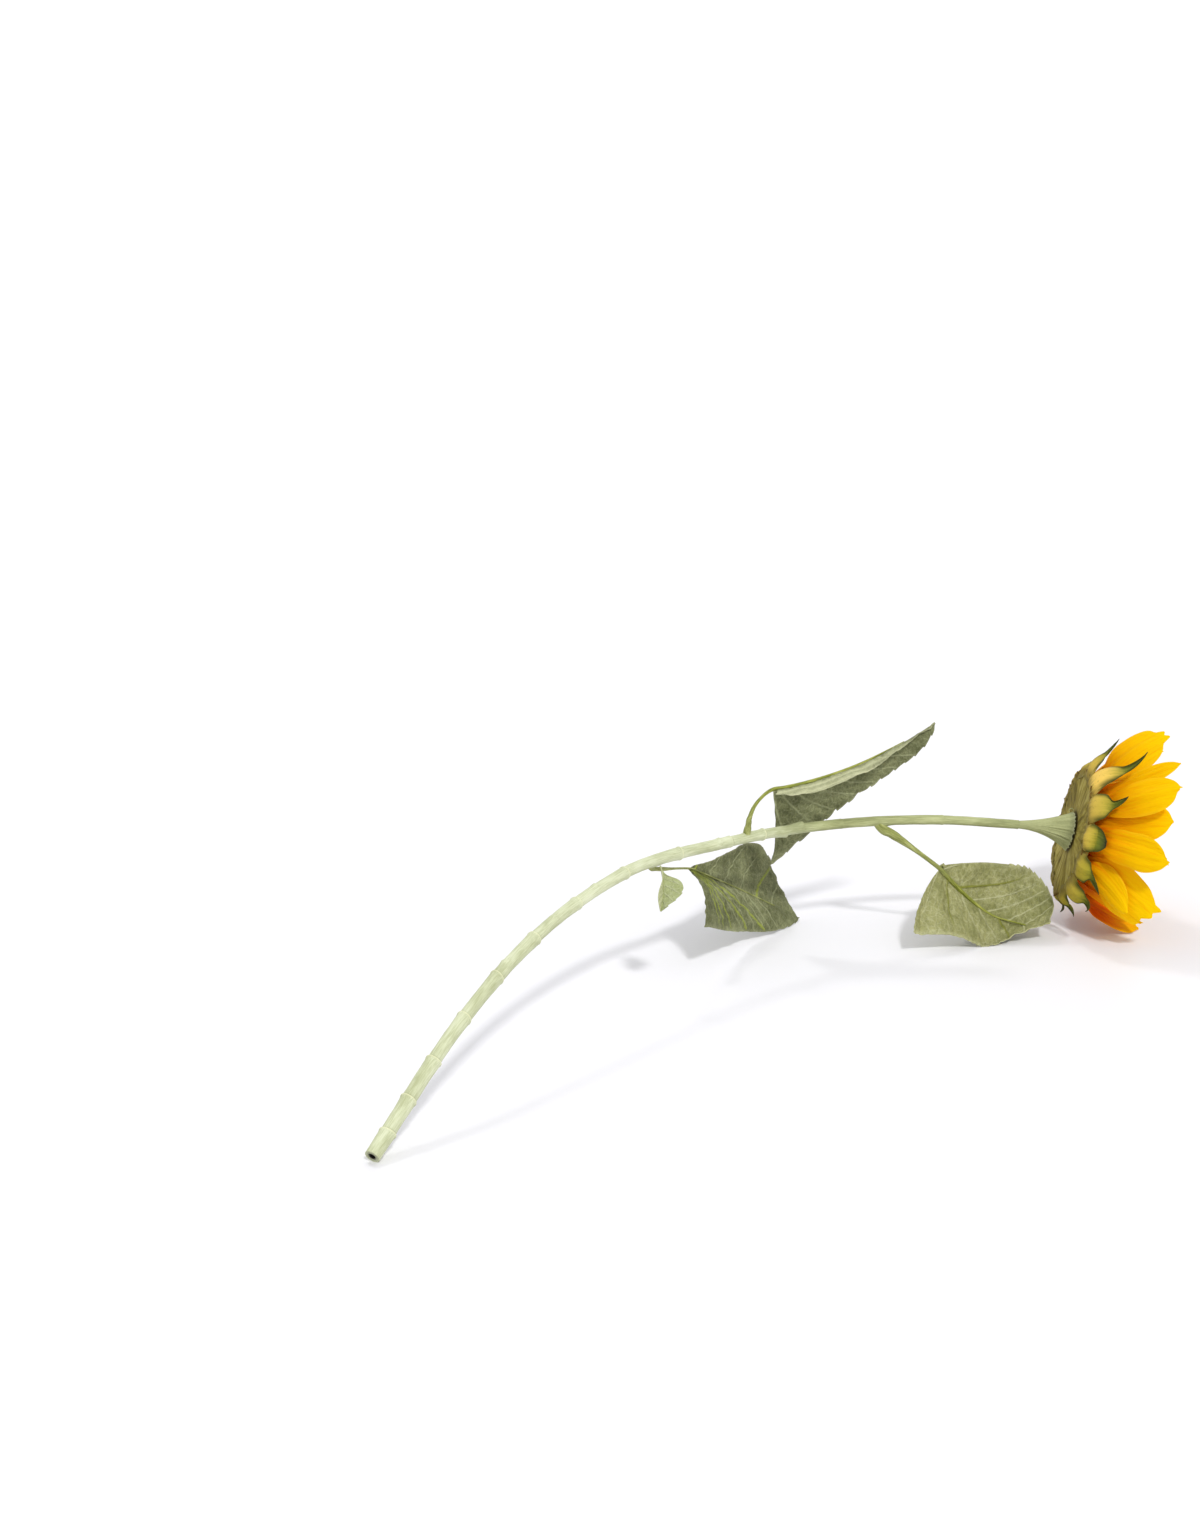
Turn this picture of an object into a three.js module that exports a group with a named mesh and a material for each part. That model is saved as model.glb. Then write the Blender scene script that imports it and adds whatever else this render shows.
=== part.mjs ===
// A cut sunflower lying on a table: one half-open flower on a gently arched stem with three leaves and
// one young leaflet.
// Millimetres, +Z up. The stem runs along +X from its cut end to the flower, and all of it rests on z = 0.
// The origin is the middle of the bottom of the box around the whole flower.
import * as THREE from 'three';

const degree = Math.PI / 180;
const worldUp = new THREE.Vector3(0, 0, 1);

// The clear gap between pieces that touch, and the thickness of the petals, leaves and bracts.
const gap = 0.3;
const petalThickness = 0.8;
const leafThickness = 0.8;
const bractThickness = 1.1;

// The stem's centre line is a smooth curve through these points, from the cut end to the cup's neck.
const stemLine = [
  [0, 0, 4.1],
  [83, 30, 50],
  [173, 62, 80],
  [258, 85, 93.5],
  [300, 93, 94.6],
  [360, 98, 92],
  [416, 96, 90.6],
  [482, 82, 87.8],
  [541, 58, 83.6],
  [591, 27, 77.4],
];
const stem = {
  cutRadius: 4.7,
  neckRadius: 3.4,
  holeRadius: 1.9,
  holeDepth: 16,
  ringRise: 0.4,
  ringHalfLength: 1.5,
  sides: 10,
  stations: 40,
};
// Distances of the ring seams from the cut end. They stand closer together near the cut end.
const ringPlaces = [18, 42, 72, 108, 148, 192, 240, 294, 352, 402, 433, 501, 582];

// The head faces along its own axis, which turns to the near side of the stem and nods to the table.
const head = {
  centre: [622, 3, 71.7],
  turn: -43 * degree,
  nod: 12 * degree,
};

// The cup is a trumpet from the stem's end to the back of the calyx.
const cup = { neckRadius: 2.7, mouthRadius: 13.5, wall: 1.6, dimple: 2.5, sides: 16, stations: 9 };

// Radius and height along the head's axis of the calyx body's outline, from the back to the front.
const calyxFront = 6;
const calyxOutline = [
  [0, gap], [14, gap], [24, 0], [36, -1], [42, -1.2], [44.5, 0.6], [44, 3.6], [40.5, calyxFront], [0, calyxFront],
];
const calyxSides = 36;

// The seed disc is a low dome with a dimple in the middle.
const disc = { radius: 30.5, rim: 3, rise: 9, dimple: 2.2, dimpleRadius: 9, sides: 28, stations: 6 };

// Three whorls of ray petals, from the outside in. The two angles are a petal's own at its base and at
// its tip, measured from the head's axis, and press is how far the table bends the lowest one inwards.
const whorls = [
  { name: 'outer', count: 9, start: 0.4, radius: 38.4, length: 62, width: 32, angles: [60, 34], press: 29 },
  { name: 'middle', count: 9, start: 0.9, radius: 35.2, length: 59, width: 30, angles: [49, 23], press: 24 },
  { name: 'inner', count: 8, start: 0.2, radius: 32.2, length: 50, width: 25, angles: [36, 12], press: 15 },
];
const petal = {
  baseWidth: 8.5,
  tipWidth: 1.4,
  channel: 1.6,
  lengthSpread: 0.06,
  pressedNarrowing: 0.3,
  lengthSteps: 6,
  widthSteps: 4,
};

// The bracts stand around the calyx's rim, each with a swollen base and then a point that curls its own
// way. The angles are from the head's axis: at the base, at the waist and, for each bract, at the tip.
const bract = {
  start: 0.56,
  radius: 45,
  height: 1.4,
  width: 16.5,
  tipWidth: 1,
  bulge: 2.2,
  baseAngle: 70,
  waistAngle: 34,
  waist: 0.5,
  lengths: [44, 40, 24, 38, 49, 32, 20, 34, 27, 20, 22, 30, 38, 44],
  tipAngles: [60, 70, 70, 72, 72, 76, 30, 58, 80, 100, 125, 90, 70, 60],
  lengthSteps: 7,
  widthSteps: 2,
};

// Each leaf hangs on a petiole whose rib runs on along the blade. place is the distance along the stem,
// leave the direction around the stem, from its right side (0) to its top (90), and lean the tilt from
// square towards the flower, which lasts for rootReach. The folds are the angles of the right and left
// halves above the level, at the blade's base and at its tip, and the curls are in degrees per mm. The
// widths shape each half from the base to the tip, and the lobes sweep its base margin back.
const leaves = [
  {
    name: 'near',
    place: 530,
    leave: -70,
    lean: 50,
    rootReach: 8,
    base: [536.3, 53, 48.4],
    bend: [591.6, 38.7, -14.4],
    tip: [582, -12.6, 15.7],
    rightWidths: [63.9, 49.5, 41.5, 41, 43.4],
    leftWidths: [3, 25, 42.2, 52.7, 59.3],
    lobes: [8, 0],
    rightFold: [-61.5, -2.7],
    leftFold: [66.6, 28],
    rightCurl: 0.17,
    leftCurl: 0.88,
  },
  {
    name: 'upper',
    place: 417,
    leave: 80,
    lean: 5,
    rootReach: 15,
    base: [419.7, 107, 116.3],
    bend: [473.4, 83.1, 120.6],
    tip: [523.3, 51.1, 159.1],
    rightWidths: [13.9, 14.6, 14.9, 14.8, 14.7],
    leftWidths: [60.7, 34.3, 16.4, 16.2, 23.7],
    lobes: [8, 0],
    rightFold: [20.9, 20.4],
    leftFold: [-85.6, -76.3],
    rightCurl: 0.23,
    leftCurl: 0.34,
  },
  {
    name: 'far',
    place: 326,
    leave: -130,
    lean: 45,
    rootReach: 8,
    base: [359.7, 127.7, 66.6],
    bend: [403.5, 139.4, 47],
    tip: [484, 140.9, 1.5],
    rightWidths: [47.5, 41.7, 35.6, 29.4, 23.6],
    leftWidths: [4.4, 11.2, 25.7, 47.8, 72.5],
    lobes: [4.7, -6.2],
    rightFold: [-19.4, -46.7],
    leftFold: [85.6, 38.2],
    rightCurl: -1.52,
    leftCurl: 0.73,
  },
];
const petiole = { rootRadius: 3, radius: 1.9, tipRadius: 0.7, ribReach: 0.72, sides: 8, stations: 18 };
const blade = { tipWidth: 1, lengthSteps: 12, widthSteps: 8 };

// The young leaflet hangs from the stem's underside by the far petiole. Its folds are the angles of its
// narrow left half and its wide right half towards the near side.
const leaflet = {
  base: [297, 89.5, 91],
  bend: [296, 88.5, 78],
  tip: [292.5, 84.5, 64],
  stalkWidth: 2,
  halfWidth: 12,
  leftFold: 60,
  rightFold: 20,
  lengthSteps: 8,
  widthSteps: 4,
};

function vector(point) {
  return new THREE.Vector3(...point);
}

// A repeatable value from -1 to 1 for petal number i, so that no two petals are quite alike.
function vary(i, seed) {
  const golden = 0.6180339887;
  return 2 * (((i + 1) * golden + seed * 0.377) % 1) - 1;
}

// A closed mesh from points and faces, turned so that its faces point out.
function closedGeometry(points, faces) {
  let volume = 0;
  for (const [a, b, c] of faces) {
    volume += points[a].dot(points[b].clone().cross(points[c]));
  }
  const turned = volume < 0 ? faces.map(([a, b, c]) => [a, c, b]) : faces;
  const geometry = new THREE.BufferGeometry();
  geometry.setFromPoints(points);
  geometry.setIndex(turned.flat());
  geometry.computeVertexNormals();
  return geometry;
}

// The tangent, right side and top of a curve at distance u of its length, with the side kept level.
function levelFrame(curve, u) {
  const point = curve.getPointAt(u);
  const tangent = curve.getTangentAt(u);
  const side = tangent.clone().cross(worldUp).normalize();
  const top = side.clone().cross(tangent);
  return { point, tangent, side, top };
}

// A lathe bent along a curve. Each profile entry is a distance along the curve and a radius there, and
// the profile starts and ends on the curve, so the mesh is closed.
function bentLathe(curve, profile, sides) {
  const length = curve.getLength();
  const points = [];
  const rings = profile.map(([distance, radius]) => {
    const frame = levelFrame(curve, THREE.MathUtils.clamp(distance / length, 0, 1));
    const count = radius === 0 ? 1 : sides;
    const ring = [];
    for (let k = 0; k < count; k += 1) {
      const angle = (k / sides) * Math.PI * 2;
      ring.push(points.length);
      points.push(
        frame.point
          .clone()
          .addScaledVector(frame.side, radius * Math.cos(angle))
          .addScaledVector(frame.top, radius * Math.sin(angle)),
      );
    }
    return ring;
  });
  const faces = [];
  for (let i = 0; i + 1 < rings.length; i += 1) {
    for (let k = 0; k < sides; k += 1) {
      const near = rings[i];
      const far = rings[i + 1];
      const next = (k + 1) % sides;
      if (near.length > 1) faces.push([near[k], near[next], far[far.length > 1 ? k : 0]]);
      if (far.length > 1) faces.push([far[next], far[k], near[near.length > 1 ? next : 0]]);
    }
  }
  return closedGeometry(points, faces);
}

// A thin sheet around surface(u, v), where u runs along it from 0 to 1 and v across it from -1 to 1.
function sheet(surface, lengthSteps, widthSteps, thickness) {
  const points = [];
  const step = 0.01;
  const row = widthSteps + 1;
  const layer = row * (lengthSteps + 1);
  for (const side of [0.5, -0.5]) {
    for (let i = 0; i <= lengthSteps; i += 1) {
      for (let j = 0; j <= widthSteps; j += 1) {
        const u = i / lengthSteps;
        const v = (2 * j) / widthSteps - 1;
        const alongU = surface(Math.min(u + step, 1), v).sub(surface(Math.max(u - step, 0), v));
        const alongV = surface(u, Math.min(v + step, 1)).sub(surface(u, Math.max(v - step, -1)));
        const normal = alongU.cross(alongV).normalize();
        points.push(surface(u, v).addScaledVector(normal, thickness * side));
      }
    }
  }
  const faces = [];
  const quad = (a, b, c, d) => faces.push([a, b, c], [a, c, d]);
  for (let i = 0; i < lengthSteps; i += 1) {
    for (let j = 0; j < widthSteps; j += 1) {
      const a = i * row + j;
      quad(a, a + row, a + row + 1, a + 1);
      quad(layer + a, layer + a + 1, layer + a + row + 1, layer + a + row);
    }
    const left = i * row;
    const right = left + widthSteps;
    quad(left, layer + left, layer + left + row, left + row);
    quad(right, right + row, layer + right + row, layer + right);
  }
  for (let j = 0; j < widthSteps; j += 1) {
    const last = lengthSteps * row + j;
    quad(j, j + 1, layer + j + 1, layer + j);
    quad(last, layer + last, layer + last + 1, last + 1);
  }
  return closedGeometry(points, faces);
}

// An arc in the plane of the head's axis: the angle from the axis goes evenly from start to end.
function arcPoint(start, end, length, u) {
  const turn = end - start || 1e-6;
  const angle = start + turn * u;
  return {
    out: (length / turn) * (Math.cos(start) - Math.cos(angle)),
    forward: (length / turn) * (Math.sin(angle) - Math.sin(start)),
    angle,
  };
}

function material(color, roughness) {
  return new THREE.MeshStandardMaterial({ color, roughness, metalness: 0 });
}

const stemFinish = () => material(0xa9b98e, 0.75);
const calyxFinish = () => material(0x80803a, 0.85);
const discFinish = () => material(0x2e1a0c, 0.9);
const petalFinish = () => material(0xfbb60f, 0.7);
const leafFinish = () => material(0x6f7b58, 0.85);

const flower = new THREE.Group();

function addPiece(parent, name, geometry, finish) {
  const mesh = new THREE.Mesh(geometry, finish());
  mesh.name = name;
  parent.add(mesh);
}

const stemCurve = new THREE.CatmullRomCurve3(stemLine.map(vector));
const stemLength = stemCurve.getLength();

function stemRadius(distance) {
  return THREE.MathUtils.lerp(stem.cutRadius, stem.neckRadius, distance / stemLength);
}

// The stem, with a blind hole in its cut end and a low ridge at each ring seam.
function stemProfile() {
  const outside = [];
  for (let i = 0; i <= stem.stations; i += 1) {
    const distance = (stemLength * i) / stem.stations;
    const clear = ringPlaces.every((place) => Math.abs(place - distance) > 3 * stem.ringHalfLength);
    if (clear) outside.push([distance, stemRadius(distance)]);
  }
  for (const place of ringPlaces) {
    for (const [offset, rise] of [[-stem.ringHalfLength, 0], [0, stem.ringRise], [stem.ringHalfLength, 0]]) {
      outside.push([place + offset, stemRadius(place) + rise]);
    }
  }
  outside.sort((a, b) => a[0] - b[0]);
  const hole = [[stem.holeDepth, 0], [stem.holeDepth, stem.holeRadius], [0, stem.holeRadius]];
  return [...hole, ...outside, [stemLength, 0]];
}

// The head's own frame: +Z along its axis, +X level towards the far side, +Y up.
const headAxis = new THREE.Vector3(
  Math.cos(head.nod) * Math.cos(head.turn),
  Math.cos(head.nod) * Math.sin(head.turn),
  -Math.sin(head.nod),
);
const headSide = worldUp.clone().cross(headAxis).normalize();
const headTop = headAxis.clone().cross(headSide);
const headCentre = vector(head.centre);

// The cup, along a short curve from the stem's end into the head's axis. Its mouth is dished, and its
// neck leaves room for the small angle between the curve and the stem.
function cupGeometry() {
  const start = stemCurve.getPointAt(1).addScaledVector(stemCurve.getTangentAt(1), 2 * gap);
  const reach = start.distanceTo(headCentre) / 2;
  const middle = headCentre.clone().addScaledVector(headAxis, -reach);
  const curve = new THREE.QuadraticBezierCurve3(start, middle, headCentre);
  const length = curve.getLength();
  const profile = [[0, 0]];
  for (let i = 0; i <= cup.stations; i += 1) {
    const u = i / cup.stations;
    const flare = 0.25 * u + 0.75 * u ** 2.4;
    profile.push([u * length, THREE.MathUtils.lerp(cup.neckRadius, cup.mouthRadius, flare)]);
  }
  profile.push([length, cup.mouthRadius - cup.wall], [length - cup.dimple, 0]);
  return bentLathe(curve, profile, cup.sides);
}

function discOutline() {
  const back = calyxFront + gap;
  const outline = [new THREE.Vector2(0, back), new THREE.Vector2(disc.radius, back)];
  for (let i = 0; i < disc.stations; i += 1) {
    const u = i / disc.stations;
    const radius = disc.radius * Math.cos((u * Math.PI) / 2);
    const dimple = disc.dimple * Math.exp(-((radius / disc.dimpleRadius) ** 2));
    const rise = disc.rise * Math.sin((u * Math.PI) / 2) - dimple;
    outline.push(new THREE.Vector2(radius, back + disc.rim + rise));
  }
  outline.push(new THREE.Vector2(0, back + disc.rim + disc.rise - disc.dimple));
  return outline;
}

// A lathe around the head's own +Z from points of radius and height.
function axisLathe(outline, sides) {
  const geometry = new THREE.LatheGeometry(outline, sides);
  geometry.rotateX(Math.PI / 2);
  return geometry;
}

// How far a piece at this angle around the head is pressed inwards by the table below it.
function tablePress(around) {
  return Math.max(0, -Math.sin(around)) ** 2.5;
}

// A petal widens quickly, is widest past its middle and ends in a blunt point.
function petalHalfWidth(u, width) {
  const swell = Math.sin(Math.PI * u ** 1.15) ** 0.8;
  const base = petal.baseWidth * (1 - u) ** 1.5;
  return 0.5 * Math.max(petal.tipWidth, Math.min(width, base + width * swell));
}

function petalSurface(whorl, i) {
  const around = ((i + whorl.start) / whorl.count) * Math.PI * 2;
  const pressed = whorl.press * tablePress(around);
  const [start, end] = whorl.angles.map((angle) => (angle - pressed) * degree);
  const length = whorl.length * (1 + petal.lengthSpread * vary(i, whorl.count));
  const width = whorl.width * (1 - petal.pressedNarrowing * tablePress(around));
  const radial = new THREE.Vector3(Math.cos(around), Math.sin(around), 0);
  const across = new THREE.Vector3(-Math.sin(around), Math.cos(around), 0);
  return (u, v) => {
    const { out, forward, angle } = arcPoint(start, end, length, u);
    const inward = petal.channel * v * v * Math.sin(Math.PI * u);
    const lift = calyxFront + gap + (petalThickness / 2) * Math.sin(start);
    return new THREE.Vector3(0, 0, lift + forward + inward * Math.sin(angle))
      .addScaledVector(radial, whorl.radius + out - inward * Math.cos(angle))
      .addScaledVector(across, v * petalHalfWidth(u, width));
  };
}

// A bract's line has two arcs: in from its swollen base to a waist, then out to its curled point.
function bractSurface(i) {
  const around = ((i + bract.start) / bract.lengths.length) * Math.PI * 2;
  const base = bract.baseAngle * degree;
  const waist = bract.waistAngle * degree;
  const tip = bract.tipAngles[i] * degree;
  const length = bract.lengths[i];
  const radial = new THREE.Vector3(Math.cos(around), Math.sin(around), 0);
  const across = new THREE.Vector3(-Math.sin(around), Math.cos(around), 0);
  const lower = length * bract.waist;
  const elbow = arcPoint(base, waist, lower, 1);
  return (u, v) => {
    const inLower = u <= bract.waist;
    const part = inLower
      ? arcPoint(base, waist, lower, u / bract.waist)
      : arcPoint(waist, tip, length - lower, (u - bract.waist) / (1 - bract.waist));
    const out = part.out + (inLower ? 0 : elbow.out);
    const forward = part.forward + (inLower ? 0 : elbow.forward);
    const bulge = bract.bulge * (1 - v * v) * Math.sin(Math.PI * Math.min(1, u / bract.waist));
    const halfWidth = 0.5 * Math.max(bract.tipWidth, bract.width * Math.cos(u * 1.45) ** 1.2);
    return new THREE.Vector3(0, 0, bract.height + forward - bulge * Math.sin(part.angle))
      .addScaledVector(radial, bract.radius + out + bulge * Math.cos(part.angle))
      .addScaledVector(across, v * halfWidth);
  };
}

// A blade's half width at u is its widths blended by Bernstein polynomials, and it closes at the tip.
function bladeHalfWidth(u, widths) {
  const order = widths.length;
  let choose = 1;
  let width = 0;
  for (let k = 0; k < order; k += 1) {
    width += choose * u ** k * (1 - u) ** (order - k) * widths[k];
    choose *= (order - k) / (k + 1);
  }
  return Math.max(blade.tipWidth / 2, width);
}

// The blade's half on one side rises from the rib by its fold and then curls, along an arc.
function bladePoint(leaf, midrib, along, across, side) {
  const length = midrib.getLength();
  const u = THREE.MathUtils.clamp(along / length, 0, 1);
  const { point, tangent, side: right, top } = levelFrame(midrib, u);
  const folds = side > 0 ? leaf.rightFold : leaf.leftFold;
  const curl = (side > 0 ? leaf.rightCurl : leaf.leftCurl) * degree;
  const fold = THREE.MathUtils.lerp(folds[0], folds[1], Math.sin((u * Math.PI) / 2)) * degree;
  const level = (Math.sin(fold + curl * across) - Math.sin(fold)) / curl;
  const rise = (Math.cos(fold) - Math.cos(fold + curl * across)) / curl;
  return point
    .addScaledVector(tangent, Math.min(along, 0))
    .addScaledVector(right, side * level)
    .addScaledVector(top, rise);
}

// At the petiole's end the base margin of each half swings back by its lobe.
function bladeSurface(leaf, midrib) {
  const length = midrib.getLength();
  return (u, v) => {
    const side = v < 0 ? -1 : 1;
    const widths = side > 0 ? leaf.rightWidths : leaf.leftWidths;
    const lobe = side > 0 ? leaf.lobes[0] : leaf.lobes[1];
    const swept = lobe * Math.sin((Math.PI / 2) * Math.abs(v)) * (1 - u) ** 3;
    return bladePoint(leaf, midrib, u * length - swept, Math.abs(v) * bladeHalfWidth(u, widths), side);
  };
}

// The leaflet is broadest at its middle, and its halves stand out from its midrib like an open book.
function leafletSurface() {
  const midrib = new THREE.QuadraticBezierCurve3(vector(leaflet.base), vector(leaflet.bend), vector(leaflet.tip));
  return (u, v) => {
    const { point, side, top } = levelFrame(midrib, u);
    const fold = (v > 0 ? leaflet.leftFold : leaflet.rightFold) * degree;
    const swell = leaflet.halfWidth * Math.sin(Math.PI * u) ** 0.8;
    const reach = v * Math.max(leaflet.stalkWidth / 2, swell);
    return point
      .addScaledVector(side, reach * Math.cos(fold))
      .addScaledVector(top, Math.abs(reach) * Math.sin(fold));
  };
}

// The rib lies on the blade's upper face, along the middle of its fold, just clear of both halves.
function ribOffset(leaf, midrib, u) {
  const { side: right, top } = levelFrame(midrib, u);
  const ease = Math.sin((u * Math.PI) / 2);
  const rightFold = THREE.MathUtils.lerp(leaf.rightFold[0], leaf.rightFold[1], ease) * degree;
  const leftFold = Math.PI - THREE.MathUtils.lerp(leaf.leftFold[0], leaf.leftFold[1], ease) * degree;
  const middle = (rightFold + leftFold) / 2;
  const radius = THREE.MathUtils.lerp(petiole.radius, petiole.tipRadius, u / petiole.ribReach);
  const clear = radius + 1.5 * gap + leafThickness / 2;
  const distance = clear / Math.sin(Math.min(Math.PI / 2, (leftFold - rightFold) / 2));
  return right.multiplyScalar(distance * Math.cos(middle)).addScaledVector(top, distance * Math.sin(middle));
}

// The petiole leaves the stem leaning towards the flower, bends to the blade and runs on along it as a rib.
function petioleGeometry(leaf, midrib) {
  const { point, tangent, side: right, top } = levelFrame(stemCurve, leaf.place / stemLength);
  const squarely = right
    .multiplyScalar(Math.cos(leaf.leave * degree))
    .addScaledVector(top, Math.sin(leaf.leave * degree));
  const lean = leaf.lean * degree;
  const clear = stemRadius(leaf.place) + gap + petiole.rootRadius * Math.sin(lean);
  const root = point.addScaledVector(squarely, clear);
  const out = squarely.multiplyScalar(Math.cos(lean)).addScaledVector(tangent, Math.sin(lean));
  const along = [root, root.clone().addScaledVector(out, leaf.rootReach)];
  for (const u of [0, 0.18, 0.36, 0.54, petiole.ribReach]) {
    along.push(midrib.getPointAt(u).add(ribOffset(leaf, midrib, u)));
  }
  const curve = new THREE.CatmullRomCurve3(along);
  const length = curve.getLength();
  const profile = [[0, 0]];
  for (let i = 0; i <= petiole.stations; i += 1) {
    const u = i / petiole.stations;
    const collar = (petiole.rootRadius - petiole.radius) * Math.exp(-((u / 0.06) ** 2));
    const taper = THREE.MathUtils.smoothstep(u, 0.4, 1);
    const radius = THREE.MathUtils.lerp(petiole.radius, petiole.tipRadius, taper) + collar;
    profile.push([u * length, radius]);
  }
  profile.push([length, 0]);
  return bentLathe(curve, profile, petiole.sides);
}

addPiece(flower, 'stem', bentLathe(stemCurve, stemProfile(), stem.sides), stemFinish);
addPiece(flower, 'flower_cup', cupGeometry(), stemFinish);

for (const leaf of leaves) {
  const midrib = new THREE.QuadraticBezierCurve3(vector(leaf.base), vector(leaf.bend), vector(leaf.tip));
  const geometry = sheet(bladeSurface(leaf, midrib), blade.lengthSteps, blade.widthSteps, leafThickness);
  addPiece(flower, `petiole_${leaf.name}`, petioleGeometry(leaf, midrib), stemFinish);
  addPiece(flower, `leaf_${leaf.name}`, geometry, leafFinish);
}

const leafletGeometry = sheet(leafletSurface(), leaflet.lengthSteps, leaflet.widthSteps, leafThickness);
addPiece(flower, 'leaflet', leafletGeometry, leafFinish);

const headGroup = new THREE.Group();
headGroup.setRotationFromMatrix(new THREE.Matrix4().makeBasis(headSide, headTop, headAxis));
headGroup.position.copy(headCentre);
flower.add(headGroup);

const calyxPoints = calyxOutline.map(([radius, height]) => new THREE.Vector2(radius, height));
addPiece(headGroup, 'calyx', axisLathe(calyxPoints, calyxSides), calyxFinish);
addPiece(headGroup, 'seed_disc', axisLathe(discOutline(), disc.sides), discFinish);

for (let i = 0; i < bract.lengths.length; i += 1) {
  const geometry = sheet(bractSurface(i), bract.lengthSteps, bract.widthSteps, bractThickness);
  addPiece(headGroup, `bract_${i + 1}`, geometry, calyxFinish);
}

for (const whorl of whorls) {
  for (let i = 0; i < whorl.count; i += 1) {
    const geometry = sheet(petalSurface(whorl, i), petal.lengthSteps, petal.widthSteps, petalThickness);
    addPiece(headGroup, `petal_${whorl.name}_${i + 1}`, geometry, petalFinish);
  }
}

// The whole flower is moved so that its box stands centred on the origin.
flower.updateMatrixWorld(true);
const box = new THREE.Box3().setFromObject(flower, true);
flower.position.set(-(box.min.x + box.max.x) / 2, -(box.min.y + box.max.y) / 2, -box.min.z);

export default flower;
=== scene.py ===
import math
import bpy
import numpy as np
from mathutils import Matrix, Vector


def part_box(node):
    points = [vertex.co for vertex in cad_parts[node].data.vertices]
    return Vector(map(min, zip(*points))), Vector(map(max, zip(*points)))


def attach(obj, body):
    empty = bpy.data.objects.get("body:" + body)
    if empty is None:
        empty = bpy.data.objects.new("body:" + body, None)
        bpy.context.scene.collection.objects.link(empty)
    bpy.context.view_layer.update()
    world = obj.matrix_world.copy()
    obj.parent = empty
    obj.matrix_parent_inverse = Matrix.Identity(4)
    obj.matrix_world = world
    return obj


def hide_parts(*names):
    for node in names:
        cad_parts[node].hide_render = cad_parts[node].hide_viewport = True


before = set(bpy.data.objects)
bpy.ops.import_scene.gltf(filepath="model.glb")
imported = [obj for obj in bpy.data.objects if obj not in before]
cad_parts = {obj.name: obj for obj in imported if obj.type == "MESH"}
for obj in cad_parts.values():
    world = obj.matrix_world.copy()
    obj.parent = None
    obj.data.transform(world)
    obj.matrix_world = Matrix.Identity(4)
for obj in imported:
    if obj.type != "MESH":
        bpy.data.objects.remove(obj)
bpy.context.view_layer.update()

# Lengths are in millimetres and angles in degrees until makePiece writes a mesh in metres.
mm = 0.001
degree = math.pi / 180
worldUp = np.array([0.0, 0.0, 1.0])

# The stem's line, from its cut end to the cup, and the flower head's place. They repeat the solids' own.
stem = {
    "line": [[0, 0, 4.1], [83, 30, 50], [173, 62, 80], [258, 85, 93.5], [300, 93, 94.6],
             [360, 98, 92], [416, 96, 90.6], [482, 82, 87.8], [541, 58, 83.6], [591, 27, 77.4]],
    "cutRadius": 4.7, "neckRadius": 3.4, "solidSides": 10,
    "seams": [18, 42, 72, 108, 148, 192, 240, 294, 352, 402, 433, 501, 582],
    "stalks": {"near": (533, -70), "upper": (417, 80), "far": (326, -130)},  # distance, angle around the stem
}
head = {"centre": [622, 3, 71.7], "turn": -43, "nod": 12}


def unit(v):
    # each vector divided by its length
    return v / np.maximum(np.linalg.norm(v, axis=-1, keepdims=True), 1e-9)


def between(a, b, t):
    # a where t is 0 and b where it is 1, on a straight line
    return a + (b - a) * t


def smooth(low, high, x):
    # 0 below low and 1 above high, with an even S between them
    t = np.clip((x - low) / (high - low), 0, 1)
    return t * t * (3 - 2 * t)


def hump(x, middle, width):
    # a bell: 1 in the middle, falling off with the square of the distance in widths
    return np.exp(-(((x - middle) / width) ** 2))


def roundAngles(count):
    # angles in even steps around a full turn
    return np.linspace(0, 2 * math.pi, count, endpoint=False)


def stacked(*parts):
    # numbers and grids brought to one size and put side by side as a vector's components
    return np.stack(np.broadcast_arrays(*parts), -1)


def waves(x, y, seed, count=6):
    # irregular waves: sines in directions, paces and phases drawn from the seed
    rng = np.random.default_rng(seed)
    total = 0
    for _ in range(count):
        turn, phase = rng.uniform(0, 2 * math.pi, 2)
        pace = rng.uniform(0.6, 1.7)
        total = total + np.sin(pace * (x * math.cos(turn) + y * math.sin(turn)) + phase)
    return total / math.sqrt(count)


def ringWaves(angle, seed, turns):
    # the same around a ring: one sine for each whole number of turns
    phases = np.random.default_rng(seed).uniform(0, 2 * math.pi, len(turns))
    total = sum(np.sin(n * angle + phase) for n, phase in zip(turns, phases))
    return total / math.sqrt(len(turns))


def throughValues(places, values, x):
    # a smooth line through values at places: cubic pieces whose slopes are the mean of their neighbours'
    places, values = np.array(places, float), np.array(values, float)
    slopes = np.gradient(values, places)
    k = np.clip(np.searchsorted(places, x, side="right") - 1, 0, len(places) - 2)
    width = places[k + 1] - places[k]
    t = np.clip((x - places[k]) / width, 0, 1)
    bend = t * (t - 1) * (slopes[k] * width * (t - 1) + slopes[k + 1] * width * t)
    return between(values[k], values[k + 1], t * t * (3 - 2 * t)) + bend


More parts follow.
